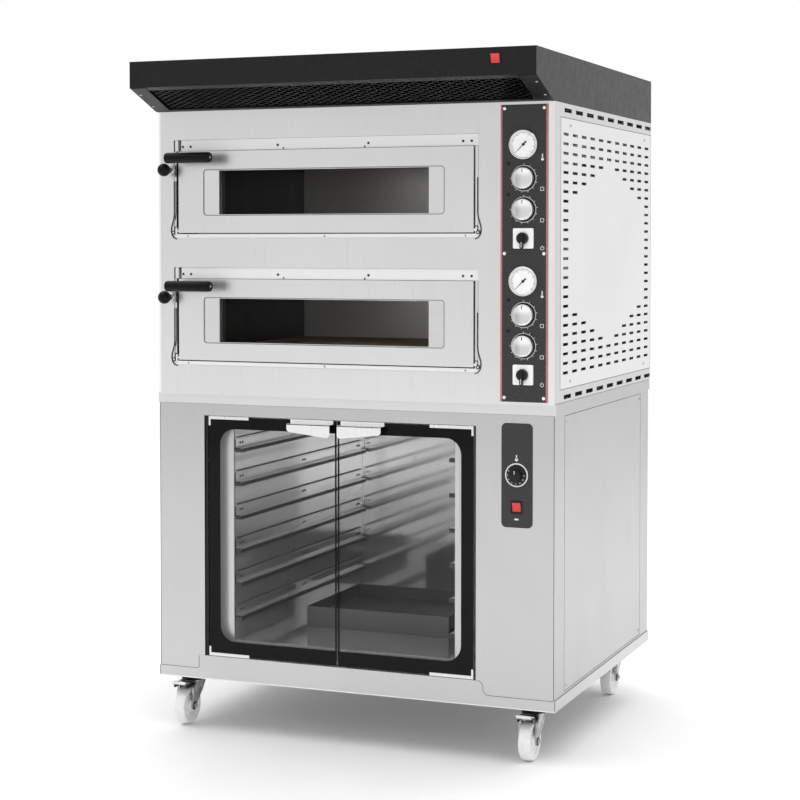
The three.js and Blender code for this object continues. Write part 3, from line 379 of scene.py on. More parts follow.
# A cross-section carried along a path: point = path + a * side + b * lift, where side is square to
# the path and to up, and lift is square to both.
def swept(path, section, up, closed=False):
    path = np.array(path, float)
    section = np.array(section, float)
    along = np.gradient(path, axis=0)
    if closed:
        along = np.roll(path, -1, 0) - np.roll(path, 1, 0)
    along /= np.linalg.norm(along, axis=1)[:, None]
    side = np.cross(along, np.array(up, float))
    side /= np.linalg.norm(side, axis=1)[:, None]
    lift = np.cross(side, along)
    a, b = section[:, 0][None, :, None], section[:, 1][None, :, None]
    points = path[:, None] + a * side[:, None] + b * lift[:, None]
    faces = gridFaces(len(path), len(section), closed, True)
    if not closed:
        last = (len(path) - 1) * len(section)
        faces += [list(range(len(section))), list(range(last, last + len(section)))]
    return points.reshape(-1, 3), faces


# Makes a finished piece of its shapes and hangs it on a body.
def makePiece(name, shapes, finish, body, replaced=(), crease=32, bevel=0.0):
    points, faces = gather(*shapes)
    mesh = bpy.data.meshes.new(name)
    mesh.from_pydata((points * milli).tolist(), [], faces)
    work = bmesh.new()
    work.from_mesh(mesh)
    bmesh.ops.remove_doubles(work, verts=work.verts, dist=2e-6)
    bmesh.ops.dissolve_degenerate(work, edges=work.edges, dist=1e-6)
    bmesh.ops.recalc_face_normals(work, faces=work.faces)
    work.to_mesh(mesh)
    work.free()
    mesh.shade_smooth()
    mesh.set_sharp_from_angle(angle=math.radians(crease))
    mesh.materials.append(paints[finish].material)
    piece = bpy.data.objects.new(name, mesh)
    bpy.context.scene.collection.objects.link(piece)
    if bevel:
        cut = piece.modifiers.new("edge", "BEVEL")
        cut.width = bevel * milli
        cut.segments = 2
        cut.limit_method = "ANGLE"
        cut.angle_limit = math.radians(40)
        cut.harden_normals = True
    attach(piece, body)
    if replaced:
        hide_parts(*replaced)
    return piece


# Finishes of the sheet parts.
dress("front", "oven_front_plate")
dress("door", "deck_door_upper", "deck_door_lower")
dress("lower", "base_frame", "proofer_front_frame")
dress("side", "oven_casing", "control_chassis")
dress("lowerSide", "proofer_casing", "proofer_side_panel")
dress("panel", "oven_vent_panel")
dress("lined", "proofer_liner")
dress("rails", "tray_wall_left", "tray_wall_right")
dress("tray", "water_tray")
dress("chamber", "chamber_upper", "chamber_lower")
dress("coat", "hood_shell")
dress("brick", "stone_upper", "stone_lower")
dress("dark", "heater_upper", "heater_lower", "proofer_heater", "hood_grille")
dress("stripes", "proofer_control_plate", "oven_control_plate")
dress("zinc", "gauge_case_upper", "gauge_case_lower")
dress("lip", "proofer_hinge_left", "proofer_hinge_right")
dress("pane", "proofer_door_left", "proofer_door_right")
dress("oven", "door_glass_upper", "door_glass_lower")
print("sheet parts dressed")

# Casters.
caster = {"radius": 48.4, "half": 15, "hub": 17, "bore": 5.4, "trail": 33, "axle": 48.5}
stands = {f"{end}_{side}": (x, y) for end, y in (("front", -286), ("rear", 432))
          for side, x in (("left", -483), ("right", 452))}


# One side of the wheel's profile, as (radius, distance from the middle): hub, ringed face, rim, tread.
def wheelProfile():
    hub, radius, rim = caster["hub"], caster["radius"], caster["half"]
    side = [(caster["bore"], hub), (13, hub), (15, hub - 1), (15.6, 9), (23, 8.5), (23.6, 10.5), (27, 10.5)]
    side += [(27.6, 8.5), (35.5, 8.5), (37.5, 12.5), (39.5, rim - 0.4), (41, rim), (45, rim - 0.5), (47, 12)]
    side += [(48, 6.5), (radius, 0)]
    half = np.array(side, float)
    return np.concatenate([half * (1, -1), half[-2::-1]])


def forkShapes():
    start = (-31, 111.6)
    foot = circle(-caster["trail"], caster["axle"], 11.5, 14, 180, 359)
    leg = np.concatenate([[start, (-43, 92)], foot, [(-16, 56), (0, 70), (15, 84), (26, 98), (31, 111.6)]])
    shapes = [slab(leg, "x", side * 19.5 - 1.5, side * 19.5 + 1.5) for side in (-1, 1)]
    lip = [(-31, 111.6), (-43.5, 92), (-44.8, 60), (-43.5, 60), (-42.2, 92), (-29.5, 111.6)]
    shapes += [slab(lip, "x", *sorted((side * 21, side * 25))) for side in (-1, 1)]
    shapes.append(block((-21, 21), (-31, 31), (108.6, 111.6)))
    return shapes


# The swivel's ball race, from the crown up to the pin in the plate.
def raceShape():
    race = [(29.5, 111.4), (30.5, 112.6), (30.5, 116.5), (28, 119), (23, 120), (23, 122.5), (26, 123.5)]
    race += [(26, 128.5), (24, 130.6), (6, 130.6), (6, 136)]
    return turned(race, "z", (0, 0, 0), 40)


def pedalShapes():
    rise = [(-38, 106.5), (-46, 107), (-56, 109.5), (-66, 113.5), (-74, 116.5), (-81, 117.4)]
    path = [(0, y, z) for y, z in rise]
    section = [(-20, -1.6), (-20, 1), (-17, 2.1), (17, 2.1), (20, 1), (20, -1.6)]
    shapes = [swept(path, section, (0, 0, 1))]
    shapes.append(block((-24.4, 24.4), (-41.5, -34.5), (103.5, 110.5)))
    shapes.append(slab(rounded(-19, 19, 110.5, 117.6, 2.2), "y", -81, -79.4))
    shapes += [block(sorted((side * 16, side * 19.6)), (-70, -40), (100.5, 108)) for side in (-1, 1)]
    for grip in range(4):
        y = -79 + grip * 4
        shapes.append(block((-15, 15), (y, y + 1.6), (115.6 - grip * 1.4, 119.6 - grip * 1.6)))
    return shapes


for name, (x, y) in stands.items():
    swivel = "swivel_" + name
    centre = (x, y - caster["trail"], caster["axle"])
    wheel = turned(wheelProfile(), "x", centre, 64, True)
    makePiece("wheel_" + name, [wheel], "nylon", "wheel_" + name, ["caster_wheel_" + name], 26)
    fork = [shift(shape, (x, y, 0)) for shape in forkShapes()]
    makePiece("fork_" + name, fork, "zinc", swivel, ["caster_fork_" + name], 40, 0.5)
    makePiece("race_" + name, [shift(raceShape(), (x, y, 0))], "coat", swivel)
    washers = []
    nuts = []
    for side in (-1, 1):
        washers.append(turned([(5, side * 21.1), (10.5, side * 21.1), (10.5, side * 22)], "x", centre, 24))
        nuts.append(turned([(7.6, side * 22), (7.6, side * 25), (6.4, side * 25.8)], "x", centre, 6))
        end = [(4.6, 17.2), (4.6, 27.6), (3.4, 28.6), (0, 29)]
        nuts.append(turned([(radius, side * reach) for radius, reach in end], "x", centre, 20))
    makePiece("axle_washers_" + name, washers, "dark", swivel, [], 30)
    makePiece("axle_" + name, nuts, "zinc", swivel, [], 30)
    bolts = [turned([(6, 124.6), (7, 125.4), (7, 130), (9, 130), (9, 131)], "z", (x + a, y + b, 0), 6)
             for a in (-40, 40) for b in (-30, 30)]
    makePiece("plate_bolts_" + name, bolts, "zinc", "frame", [], 30)
    if name.startswith("front"):
        pedal = [shift(shape, (x, y, 0)) for shape in pedalShapes()]
        replaced = ["brake_pedal_" + name]
        makePiece("pedal_" + name, pedal, "pedal", "brake_" + name, replaced, 35, 0.4)
print("casters built")


# Screws and rivets.
# A domed head standing on a face, with a cross cut shown by two dark bars.
def screwHead(axis, spot, radius=3.6, tall=1.8):
    dome = [(radius, -0.2), (radius, tall * 0.35), (radius * 0.82, tall * 0.75)]
    dome += [(radius * 0.45, tall), (0, tall)]
    return turned(dome, axis, spot, 16)


def screwCross(axis, spot, radius=3.6, tall=1.8):
    main = axes[axis[-1]]
    sign = -1 if axis.startswith("-") else 1
    reach, width = radius * 0.55, radius * 0.13
    shapes = []
    for long in (0, 1):
        size = [reach, reach, reach]
        size[(main + 1 + long) % 3] = width
        size[main] = 0.15
        middle = np.array(spot, float)
        middle[main] += sign * tall
        low, high = middle - size, middle + size
        shapes.append(block((low[0], high[0]), (low[1], high[1]), (low[2], high[2])))
    return shapes


def screws(name, axis, spots, finish, radius=3.6, tall=1.8, body="frame"):
    makePiece(name, [screwHead(axis, spot, radius, tall) for spot in spots], finish, body, [], 50)
    crosses = [shape for spot in spots for shape in screwCross(axis, spot, radius, tall)]
    makePiece(name + "_cross", crosses, "black", body)


ventCorners = [(530, y, z) for y in (-251, 452) for z in (917, 1534)]
sideCorners = [(530, y, z) for y in (-278, 409) for z in (182, 822)]
screws("vent_panel_screws", "x", ventCorners, "zinc", 4.6)
screws("side_panel_screws", "x", sideCorners, "zinc", 4.2)
plateSpots = [(x, -388.5, z) for x in (409, 507) for z in (884, 1226, 1569)]
heads = [screwHead("-y", spot, 3.9) for spot in plateSpots]
makePiece("control_plate_screws", heads, "white", "frame")
for deck, drop in decks.items():
    header = [(x, -384, 1495 + drop) for x in (-455, -433, -188, 57, 303, 325)]
    screws("header_screws_" + deck, "-y", header, "dark", 3.2, 1.6)
    ticks = [slab(rounded(x, x + 3, 1484.6 + drop, 1489 + drop, 1), "y", -385, -383.8) for x in (-174, 46)]
    makePiece("header_tabs_" + deck, ticks, "black", "frame")
    lower = [(x, -386, 1268.6 + drop) for x in (-440, -60, 310)]
    screws("sill_screws_" + deck, "-y", lower, "zinc", 2.6, 1.2)
# Seams: a thin dark line round each cover panel, and one along the step of the base's front sheet.
seamBoxes = {"vent": (-331.2, 525.8, 899.8, 1551.2), "side": (-292.2, 423.2, 167.8, 836.2)}
seamWidth = 1.5
for name, (a, b, low, high) in seamBoxes.items():
    inner = rounded(a + seamWidth, b - seamWidth, low + seamWidth, high - seamWidth, 0.5)
    seam = ringSlab(rounded(a, b, low, high, 0.5), inner, "x", 529.7, 530.15)
    makePiece(name + "_panel_seam", [seam], "black", "frame")
bends = circle(336.5, 181, 15, 8, 90, 0), circle(366.5, 177, 15, 8, 180, 270)
stepRight = np.concatenate([*bends, [(529, 162)]])
stepLeft = np.concatenate([[(-529, 162), (-424, 162)], circle(-424, 167, 5, 5, 270, 360), [(-419, 194)]])
bead = [(-0.5, -0.2), (-0.5, 0.2), (0.5, 0.2), (0.5, -0.2)]
steps = [swept(lay(line, "y", -374.1), bead, (0, 1, 0)) for line in (stepRight, stepLeft)]
makePiece("base_step_seams", steps, "black", "frame")
# The folded corners: a fine dark line up each front corner, and a bright hem along the base's lower edge.
corners = [slab(rounded(side * x - 0.7, side * x + 0.7, low, high, 0.6, 3), "y", -374.15, -373.6)
           for side in (-1, 1) for x, low, high in ((529.2, 163, 841), (532.2, 138, 161.5))]
makePiece("corner_seams", corners, "black", "frame")
hem = slab(rounded(-532, 532, 135.2, 137.4, 1, 3), "y", -374.2, -373.7)
makePiece("base_hem", [hem], "bright", "frame")
backSpots = [(x, 526, z) for x in (-500, -170, 170, 500) for z in (900, 1555)]
backSpots += [(x, 526, z) for x in (-500, 500) for z in (1118, 1337)]
screws("casing_back_screws", "y", [(x, 525, z) for x, _, z in backSpots], "zinc", 3.6, 0.8)
lowBack = [(x, 506, z) for x in (-500, -170, 170, 500) for z in (190, 812)]
screws("proofer_back_screws", "y", lowBack, "zinc", 3.6)
leftSpots = [(-530, y, z) for y in (-330, 60, 470) for z in (190, 812, 900, 1555)]
screws("left_side_screws", "-x", leftSpots, "zinc", 3.6)
print("screws and seams placed")

# Hood: expanded metal, side screws, rocker frame.
slope = {"front": (-515, 1637.2), "rear": (-389, 1589.3), "pitch": 8, "step": 13, "half": 520}


# Strands of expanded metal: each zigzags along x, out of step with its neighbours, and touches them at
# its tips. The height along the slope is pitch * row +- pitch / 2.
def expandedMetal():
    front, rear = np.array(slope["front"], float), np.array(slope["rear"], float)
    run = rear - front
    length = np.linalg.norm(run)
    run /= length
    across = np.arange(-slope["half"], slope["half"] + 1, slope["step"])
    shapes = []
    for row in range(int(length / slope["pitch"])):
        up = np.where((np.arange(len(across)) + row) % 2, 0.5, -0.5)
        travel = np.clip((row + 0.5 + up) * slope["pitch"], 1, length - 1)
        path = np.stack([across, front[0] + run[0] * travel, front[1] + run[1] * travel], -1)
        normal = (0, -run[1], run[0])
        shapes.append(swept(path, [(-1.5, -0.7), (-1.5, 0.7), (1.5, 0.7), (1.5, -0.7)], normal))
    return shapes


makePiece("expanded_metal", expandedMetal(), "mesh", "frame", ["hood_grille"], 30)
flangeSpots = [(x, y, 1585 + (-387 - y) * 51 / 134 - 0.6) for x in (-519, 519) for y in (-420, -485)]
heads = [turned([(3.6, -0.4), (3.6, 0.8), (2.4, 1.8), (0, 2)], "-z", spot, 14) for spot in flangeSpots]
makePiece("hood_flange_screws", heads, "zinc", "frame")


# Cover strips over the ends of the grille, lying on the slope: each is its two ends moved out along
# the slope's normal by the near and the far face's distance.
flange = {"front": (-519, 1635.4), "rear": (-390, 1586.3), "inner": 486, "outer": 529}
flange["normal"] = (-0.356, -0.934)
ends = np.array([flange["front"], flange["rear"]])
faces = [ends + np.array(flange["normal"]) * distance for distance in (0.3, 1.2)]
strip = np.concatenate([faces[0], faces[1][::-1]])
strips = [slab(strip, "x", *sorted((side * flange["inner"], side * flange["outer"]))) for side in (-1, 1)]
makePiece("hood_end_strips", strips, "coat", "frame", [], 40, 0.3)


# A dark frame round a rocker, standing a little out of its sheet.
def rockerFrame(x, z, face):
    outer = rounded(x - 14.5, x + 14.5, z - 16, z + 16, 3)
    inner = rounded(x - 11, x + 11, z - 12.5, z + 12.5, 1.2)
    return ringSlab(outer, inner, "y", face - 1.8, face + 0.1)


rockers = {"hood": (431, 1675, -521), "proofer": (436, 621, -375.5)}
for name, spot in rockers.items():
    makePiece(name + "_rocker_frame", [rockerFrame(*spot)], "black", "frame", [], 40, 0.5)
dress("red", "hood_switch", "proofer_switch")
print("hood built")

# Control column.
column = {"x": 457, "face": -388.5, "left": 399, "right": 517, "low": 874, "high": 1578}
plate = rounded(column["left"], column["right"], column["low"], column["high"], 3)
foil = slab(plate, "y", column["face"], -387.3)
makePiece("control_foil", [foil], "stripes", "frame", ["oven_control_plate"])


def printed(outline, face, proud=0.2):
    return slab(outline, "y", face - proud, face + 0.1)


# A printed line between two points of the plate, given its width.
def stroke(a, b, width, face):
    a, b = np.array(a, float), np.array(b, float)
    side = (b - a) / np.linalg.norm(b - a)
    side = np.array([-side[1], side[0]]) * width / 2
    return printed([a + side, b + side, b - side, a - side], face)


# A printed ring, or part of one, from one radius to another.
def hoop(x, z, inner, outer, face, steps=48, start=0, end=360):
    if end - start == 360:
        return ringSlab(circle(x, z, outer, steps), circle(x, z, inner, steps), "y", face - 0.2, face + 0.1)
    outside = circle(x, z, outer, steps, start, end)
    inside = circle(x, z, inner, steps, start, end)
    return printed(np.concatenate([outside, inside[::-1]]), face)


def polar(x, z, radius, degrees):
    return x + radius * math.cos(math.radians(degrees)), z + radius * math.sin(math.radians(degrees))


border = []
for a, b in ((column["left"], column["left"] + 4.5), (column["right"] - 4.5, column["right"])):
    low, high = column["low"], column["high"]
    border.append(printed([(a, low), (b, low), (b, high), (a, high)], column["face"]))
makePiece("control_borders", border, "pink", "frame")

dialInfo = {"z": 1483.5, "bezel": 35.5, "dial": 31.3, "rest": 225, "long": 24, "tail": 10}
knobHeights = [1404, 1330]
camInfo = {"z": 1262, "wide": 25, "tall": 24, "face": -394.5}

for deck, drop in decks.items():
    face, x = column["face"], column["x"]
    marks = []
    for height in knobHeights:
        z = height + drop
        marks.append(hoop(x, z, 29.6, 30.8, face))
        for tick in range(11):
            angle = 90 - 27 * tick
            marks.append(stroke(polar(x, z, 31.2, angle), polar(x, z, 34.6, angle), 1.1, face))
        square = rounded(x + 41, x + 50, z - 30, z - 21, 1)
        inside = rounded(x + 42.2, x + 48.8, z - 28.8, z - 22.2, 0.6)
        marks.append(ringSlab(square, inside, "y", face - 0.2, face + 0.1))
    iconX, iconZ = x + 46, 1452 + drop
    marks.append(stroke((iconX, iconZ - 2), (iconX, iconZ + 9), 2.6, face))
    marks.append(printed(circle(iconX, iconZ - 4, 3.4, 20), face))
    powerZ = 1239 + drop
    marks.append(hoop(x + 46, powerZ, 3.6, 4.8, face, 24, 120, 420))
    marks.append(stroke((x + 46, powerZ + 1), (x + 46, powerZ + 6), 1.3, face))
    makePiece("control_print_" + deck, marks, "ink", "frame")

    dome = [(4.4, 0.2), (4.4, 1), (3.4, 2), (0, 2.4)]
    lamps = [turned(dome, "-y", (x - 38, face, height + 35 + drop), 20) for height in knobHeights]
    makePiece("signal_lamps_" + deck, lamps, "black", "frame")
    # A black disc behind each knob stands for the shadow round its base: painted shadow.
    ring = [(27.6, -0.05), (27.6, 0.5), (0, 0.5)]
    knobShadowDiscs = [turned(ring, "-y", (x, face, height + drop), 48) for height in knobHeights]
    makePiece("knob_shadow_rings_" + deck, knobShadowDiscs, "black", "frame")

    for index, height in enumerate(knobHeights):
        spot = (x, face, height + drop)
        body = f"thermostat_knob_{deck}_{index + 1}"
        cap = [(2.9, -22), (2.9, 0.6), (24, 0.6), (24.4, 2.6), (25.5, 3.2), (25.5, 12.2), (25.1, 13.8)]
        cap += [(23.8, 14.9), (22.4, 15), (21.8, 14.5), (0, 14.3)]
        makePiece(body + "_cap", [turned(cap, "-y", spot, 72)], "knob", body, [body], 40)
        z = height + drop
        line = slab(rounded(x - 1, x + 1, z + 14, z + 22, 0.9), "y", face - 14.9, face - 14.2)
        makePiece(body + "_mark", [line], "black", body)

    spot = (x, face, dialInfo["z"] + drop)
    bezel, dial = dialInfo["bezel"], dialInfo["dial"]
    case = [(0, -26), (29.4, -26), (29.6, -25), (29.6, 0.3), (35, 0.3), (bezel, 1), (bezel, 6.4), (34.9, 8.2)]
    case += [(33.7, 9), (32.4, 8.7), (31.7, 7.8), (31.5, 4), (0, 4)]
    case = turned(case, "-y", spot, 72)
    makePiece("gauge_bezel_" + deck, [case], "bezel", "frame", ["gauge_case_" + deck], 30)
    disc = [(0, 3.8), (dial, 3.8), (dial, 4.7), (30.7, 4.7), (30.3, 4.3), (0, 4.3)]
    dialDisc = turned(disc, "-y", spot, 64)
    makePiece("gauge_dial_" + deck, [dialDisc], "dial", "frame")
    scale = []
    for tick in range(41):
        angle = 225 - tick * 270 / 40
        inner = 24.5 if tick % 5 == 0 else 26.6
        width = 0.8 if tick % 5 == 0 else 0.4
        start, end = polar(x, spot[2], inner, angle), polar(x, spot[2], 28.6, angle)
        scale.append(stroke(start, end, width, face - 4.3))
    scale.append(hoop(x, spot[2], 28.6, 29, face - 4.3, 60, -45, 225))
    makePiece("gauge_scale_" + deck, scale, "black", "frame")
    tip = polar(x, spot[2], dialInfo["long"], dialInfo["rest"])
    tail = np.array(polar(x, spot[2], dialInfo["tail"], dialInfo["rest"] + 180))
    turnRight = math.radians(dialInfo["rest"] + 90)
    side = np.array([math.cos(turnRight), math.sin(turnRight)])
    hub = np.array([x, spot[2]])
    outline = [tip + side * 0.3, hub + side * 1.1, tail + side * 2.2]
    outline += [tail - side * 2.2, hub - side * 1.1, tip - side * 0.3]
    boss = turned([(0, 4.6), (3.4, 4.6), (3.4, 5.8), (2.8, 6.1), (0, 6.1)], "-y", spot, 24)
    hand = [slab(outline, "y", face - 5.6, face - 4.9), boss]
    needle = "gauge_needle_" + deck
    makePiece("gauge_hand_" + deck, hand, "black", needle, [needle])
    glass = [(0, 8.1), (12, 8), (24, 7.6), (31.3, 6.9), (31.3, 6.3), (24, 7), (12, 7.4), (0, 7.5)]
    makePiece("gauge_lens_" + deck, [turned(glass, "-y", spot, 48)], "lens", "frame")

    z = camInfo["z"] + drop
    wide, tall = camInfo["wide"], camInfo["tall"]
    white = slab(rounded(x - wide, x + wide, z - tall, z + tall, 3), "y", camInfo["face"], face + 0.2)
    makePiece("cam_plate_" + deck, [white], "white", "frame", [], 40, 0.8)
    near = camInfo["face"]
    disc = [(2.9, -20), (2.9, 0.4), (14.5, 0.4), (14.5, 2), (13.6, 9.6), (12.4, 10.8), (0, 10.8)]
    lever = slab(rounded(x - 4, x + 4, z - 24, z + 14.2, 3), "y", near - 14, near - 5)
    shapes = [turned(disc, "-y", (x, near, z), 40), lever]
    body = "cam_knob_" + deck
    makePiece("cam_handle_" + deck, shapes, "black", body, [body], 35, 0.5)
    line = slab(rounded(x - 0.7, x + 0.7, z - 22, z - 9, 0.6), "y", near - 14.2, near - 13.8)
    makePiece("cam_line_" + deck, [line], "ink", body)
print("control column built")

# Proofer controls.
heat = {"x": 436, "z": 698, "face": -375.5}
x, z, face = heat["x"], heat["z"], heat["face"]
prints = [hoop(x, z, 25.4, 28.6, face, 64)]
prints.append(stroke((x, z + 38), (x, z + 48), 3, face))
prints.append(printed(circle(x, z + 37, 4, 20), face))
prints.append(printed(rounded(x - 5, x + 5, 590, 594, 1), face))
makePiece("proofer_print", prints, "ink", "frame")
heatKnob = [(2.9, -18), (2.9, 0.3), (23.6, 0.3), (24, 1), (24, 3.6), (23.2, 4.6), (17.4, 5.2), (16.2, 6)]
heatKnob += [(15.4, 15.8), (14.4, 17.4), (12.6, 18), (0, 18)]
shape = turned(heatKnob, "-y", (x, face, z), 64)
makePiece("proofer_dial", [shape], "black", "proofer_knob", ["proofer_knob"], 30)
dots = []
for index in range(8):
    dots.append(slab(circle(*polar(x, z, 20.6, 150 + index * 30), 1.25, 14), "y", face - 5.1, face - 4.6))
dots.append(block((x - 0.9, x + 0.9), (face - 18.2, face - 17.8), (z + 4, z + 12)))
makePiece("proofer_dial_marks", dots, "ink", "proofer_knob")
print("proofer controls built")

# Deck doors.
ball = {"x": -491, "z": 1436, "radius": 16.5, "stand": 32, "rod": 4}
for deck, drop in decks.items():
    body = "deck_door_" + deck
    z = 1465 + drop
    grip = [(0, -478), (9.4, -478), (12.2, -476.8), (13.5, -473.6), (13.5, -360), (13.1, -354)]
    grip += [(11.6, -350.8), (9, -350), (6.4, -350), (5.8, -352.6), (0, -352.6)]
    grip = turned(grip, "x", (0, -434, z), 48)
    makePiece("handle_grip_" + deck, [grip], "grip", body, ["door_handle_" + deck], 26)
    dot = [(3.4, -353), (3.4, -351), (2.4, -350.3), (0, -350.1)]
    makePiece("handle_pin_" + deck, [turned(dot, "x", (0, -434, z), 20)], "zinc", body)
    low, high = 1321 + drop, 1436 + drop
    outside = rounded(-395, 257, low - 1, high + 1, 9)
    inside = rounded(-393.6, 255.6, low + 0.4, high - 0.4, 7.6)
    outline = ringSlab(outside, inside, "y", -388.15, -387.4)
    makePiece("window_outline_" + deck, [outline], "dark", body)
    spans = ((-392, -352.5), (217.5, 254))
    strips = [slab(rounded(*span, low + 2.5, high - 2.5, 4), "y", -386.9, -386.4) for span in spans]
    makePiece("window_side_strips_" + deck, strips, "bright", body)
    arc = np.linspace(0.12, math.pi, 22)
    radius, stand = ball["radius"], ball["stand"]
    profile = [(ball["rod"] + 0.05, stand - 15.9)]
    profile += [(radius * math.sin(a), stand - radius * math.cos(a)) for a in arc[1:-1]]
    profile.append((0, stand + radius))
    spot = (ball["x"], -387, ball["z"] + drop)
    vent = "vent_knob_" + deck
    shape = turned(profile, "-y", spot, 40)
    makePiece("vent_ball_" + deck, [shape], "grip", vent, [vent], 60)
    rod = [(0, -70), (3.2, -70), (4, -69), (4, 5), (3.5, 5.6), (3.5, 7.4), (4, 8), (4, 18), (0, 18)]
    makePiece("vent_rod_" + deck, [turned(rod, "-y", spot, 20)], "zinc", vent)
    collar = turned([(4.6, 0), (10.5, 0), (10.5, 1.6), (8.4, 3), (4.6, 3)], "-y", spot, 32, True)
    makePiece("vent_collar_" + deck, [collar], "zinc", "frame")
    # A folded guide stands each side of the door, an L in plan, with a black ribbed seal behind the left one
    # that also stands for the shade in the gap: painted shade.
    ribs = [(-479.4, -355.5), (-479.4, -366), (-477, -367.5), (-475, -366), (-473, -367.5), (-470.4, -366)]
    ribs.append((-470.4, -355.5))
    seal = slab(ribs, "z", 1293 + drop, 1483 + drop)
    makePiece("side_seal_shade_" + deck, [seal], "black", "frame")
    folds = {"left": (-479.4, 1, 5.2), "right": (341.2, -1, 7)}
    guides = []
    for edge, inward, wide in folds.values():
        fold = [(0, -368.5), (0, -384), (wide, -384), (wide, -382.6), (1.6, -382.6), (1.6, -368.5)]
        outline = [(edge + inward * across, depth) for across, depth in fold]
        guides.append(slab(outline, "z", 1293 + drop, 1483.4 + drop))
    makePiece("side_guide_" + deck, guides, "bright", "frame")
    cuts = [rounded(y, y + 62, 1452 + drop, 1461 + drop, 4.4) for y in (-240, -90)]
    cuts += [circle(y, 1396 + drop, 4, 16) for y in (120, 178)]
    slots = [slab(outline, "x", -427.95, -427.4) for outline in cuts]
    makePiece("chamber_slots_" + deck, slots, "black", "frame")
    for side, (edge, out) in {"left": (-478.4, -1), "right": (341.4, 1)}.items():
        bend = [(0, 1408), (0, 1352), (0, 1326), (1.6, 1312), (5, 1301), (8, 1291), (8.8, 1281)]
        bend += [(6.6, 1271), (1, 1264), (-7, 1261)]
        path = [(edge + out * shiftOut, -388.6, height + drop) for shiftOut, height in bend]
        stay = swept(path, [(-1, -0.8), (-1, 0.8), (1, 0.8), (1, -0.8)], (0, 1, 0))
        makePiece(f"door_stay_{side}_{deck}", [stay], "black", "frame")
        at = (edge + out * 1.5, -388.2, 1277 + drop)
        ringed = [turned([(5, 0.9), (5, 2), (4, 2.8), (2.6, 2.9), (2.6, 0.9)], "-y", at, 24, True)]
        makePiece(f"stay_pin_ring_{side}_{deck}", ringed, "dark", "frame")
        pin = turned([(2.5, -6), (2.5, 2.8), (1.8, 3.6), (0, 3.8)], "-y", at, 20)
        makePiece(f"stay_pin_{side}_{deck}", [pin], "bright", "frame")
print("deck doors built")

# Proofer doors and inside.
doorGlass = {"left": (-390, -34.5, (1.5, 1.5, 40, 40)), "right": (-31.5, 326, (40, 40, 1.5, 1.5))}
for side, (a, b, corners) in doorGlass.items():
    inner = (-358, b - 4.5) if side == "left" else (a + 4.5, 294)
    outside = rounded(a, b, 199, 809, 1, 8)
    edge = ringSlab(outside, rounded(*inner, 236, 779, corners, 8), "y", -371.2, -371.02)
    makePiece("glass_print_" + side, [edge], "print", "proofer_door_" + side)
lip = [ringSlab(rounded(-401, 332, 197, 811, 1), rounded(-331, 271, 237, 795, 1), "y", -349.8, -349.1)]
makePiece("polished_lip", lip, "lip", "frame")
# Black strips in the jambs beside the proofer doors stand for the dark band there: painted shade.
jambSpans = ((-401.6, -393), (329.4, 332.6))
jambs = [slab(rounded(*span, -370, -350.5, 1.2), "z", 197, 811) for span in jambSpans]
makePiece("jamb_shade_strips", jambs, "black", "frame")
rails = {"lowest": 298, "pitch": 86, "count": 6}
for side, (face, way) in {"left": (-328, 1), "right": (268, -1)}.items():
    rivets = []
    wires = []
    bars = []
    for rail in range(rails["count"]):
        z = rails["lowest"] + rails["pitch"] * rail
        for y in (-318, 62, 440):
            for offset in (0, 14):
                dome = [(3.6, -0.2), (3.6, 0.5), (2.6, 1.3), (0, 1.6)]
                rivets.append(turned([(r, way * d) for r, d in dome], "x", (face, y + offset, z + 12), 10))
        route = [(face + way * 1.4, y, z + 27) for y in (-338, 60, 468)]
        wires.append(swept(route, circle(0, 0, 1.3, 8), (0, 0, 1)))
        bars.append(block(sorted((face + way * 0.2, face + way * 15.6)), (-343, 470), (z - 11, z - 2.2)))
    makePiece("rail_shadow_bars_" + side, bars, "dark", "frame")
    makePiece("rail_rivets_" + side, rivets, "dark", "frame", [], 50)
    makePiece("rail_wires_" + side, wires, "dark", "frame", [], 50)
print("proofer inside built")

# A pull bent from sheet: it hooks over the glass, steps forward and ends in a flap, whose lower edge
# rises from the split to its outer end between two round corners.
pull = {"split": -33, "offset": 10, "width": 117, "top": 801.5, "inner": 769.5, "outer": 780.5, "round": 9}
hook = [(-363.2, 800), (-363.2, 810.8), (-372.8, 810.8), (-372.8, 801.5), (-396.8, 801.5), (-396.8, 798.5)]
hook += [(-395.3, 798.5), (-395.3, 800), (-371.3, 800), (-371.3, 809.3), (-364.7, 809.3), (-364.7, 800)]
for side, way in {"left": -1, "right": 1}.items():
    start = pull["split"] + way * pull["offset"]
    r = pull["round"]
    low = circle(r, pull["inner"] + r, r, 8, 180, 270)
    high = circle(pull["width"] - r, pull["outer"] + r, r, 8, 270, 360)
    edge = np.concatenate([[(0, pull["top"] - 0.4)], low, high, [(pull["width"], pull["top"] - 0.4)]])
    flap = slab(edge * (way, 1) + (start, 0), "y", -396.8, -395.3)
    bent = slab(hook, "x", *sorted((start, start + way * pull["width"])))
    door = "proofer_door_" + side
    replaced = ["proofer_pull_" + side]
    makePiece("pull_" + side, [bent, flap], "pull", door, replaced, 40, 0.25)
print("pulls built")

# Camera, floor and light.
scene = bpy.context.scene
scene.view_settings.view_transform = "Standard"
view = {"lens": 84.06, "at": (1.8374, -4.5934, 1.2534), "yaw": 21.96, "pitch": -1.9, "shift": -0.12}
camera = bpy.data.objects.new("camera", bpy.data.cameras.new("camera"))
camera.data.lens = view["lens"]
camera.data.shift_y = view["shift"]
camera.location = view["at"]
camera.rotation_euler = (math.radians(90 + view["pitch"]), 0, math.radians(view["yaw"]))
scene.collection.objects.link(camera)
scene.camera = camera

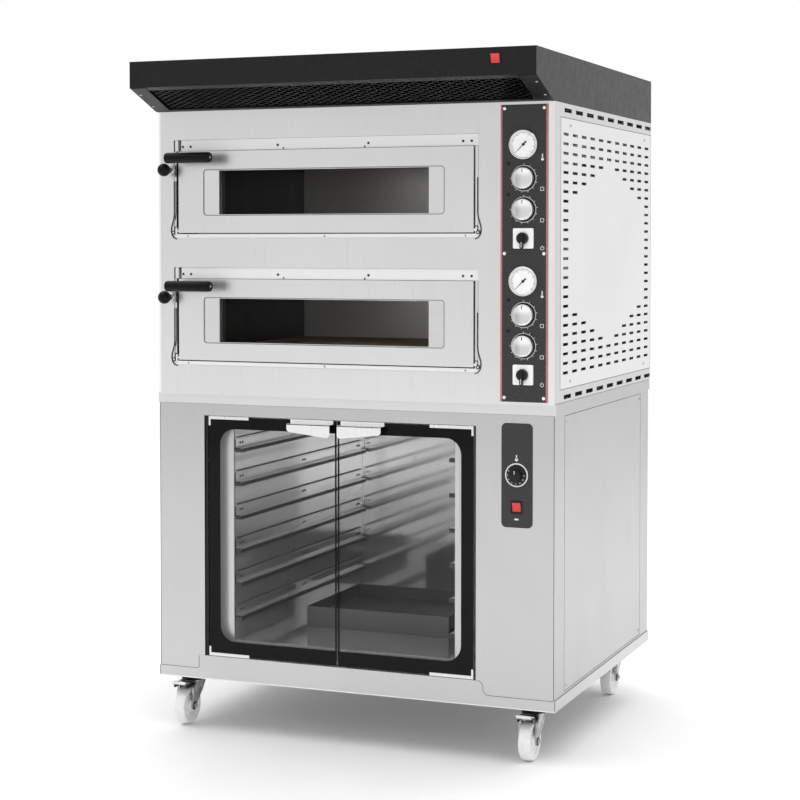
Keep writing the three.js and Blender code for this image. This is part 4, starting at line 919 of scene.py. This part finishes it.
floorPaint = coated("studioFloor", grey(246), grey(250), (0.7, 0.8), 0.0, 3, 0.00002, 0)
floorShape = turned([(0, -4), (7000, -4), (7000, -1), (0, -1)], "z", (0, 0, 0), 64)
floorMesh = bpy.data.meshes.new("floor")
floorMesh.from_pydata((floorShape[0] * milli).tolist(), [], floorShape[1])
floorMesh.materials.append(floorPaint.material)
floor = bpy.data.objects.new("floor", floorMesh)
scene.collection.objects.link(floor)

# The sky goes from a dimmer front to a bright back and top.
world = bpy.data.worlds.new("studio")
world.use_nodes = True
scene.world = world
sky = world.node_tree
sky.nodes.clear()
skyOut = sky.nodes.new("ShaderNodeOutputWorld")
backdrop = sky.nodes.new("ShaderNodeBackground")
way = sky.nodes.new("ShaderNodeTexCoord")
split = sky.nodes.new("ShaderNodeSeparateXYZ")
ramp = sky.nodes.new("ShaderNodeMapRange")
sky.links.new(way.outputs["Generated"], split.inputs[0])
sky.links.new(split.outputs["Y"], ramp.inputs["Value"])
ramp.inputs["From Min"].default_value = -1
ramp.inputs["From Max"].default_value = 0.35
ramp.inputs["To Min"].default_value = 0.72
ramp.inputs["To Max"].default_value = 1.0
sky.links.new(ramp.outputs[0], backdrop.inputs["Color"])
sky.links.new(backdrop.outputs[0], skyOut.inputs["Surface"])


def softBox(name, at, aim, size, power):
    lamp = bpy.data.lights.new(name, "AREA")
    lamp.shape = "RECTANGLE"
    lamp.size, lamp.size_y = size
    lamp.energy = power
    holder = bpy.data.objects.new(name, lamp)
    holder.location = at
    holder.rotation_euler = (Vector(aim) - Vector(at)).to_track_quat("-Z", "Y").to_euler()
    scene.collection.objects.link(holder)


softBox("overhead", (0, 0.5, 6), (0, 0.5, 0), (10, 10), 330)
for deck, drop in decks.items():
    at, aim = (-0.07, -0.31, (1464 + drop) * milli), (0, 0.25, (1330 + drop) * milli)
    softBox("oven_lamp_" + deck, at, aim, (0.5, 0.03), 0.5)
softBox("fill", (3.2, -4.6, 2.6), (0, 0, 0.8), (2.6, 2.6), 10)
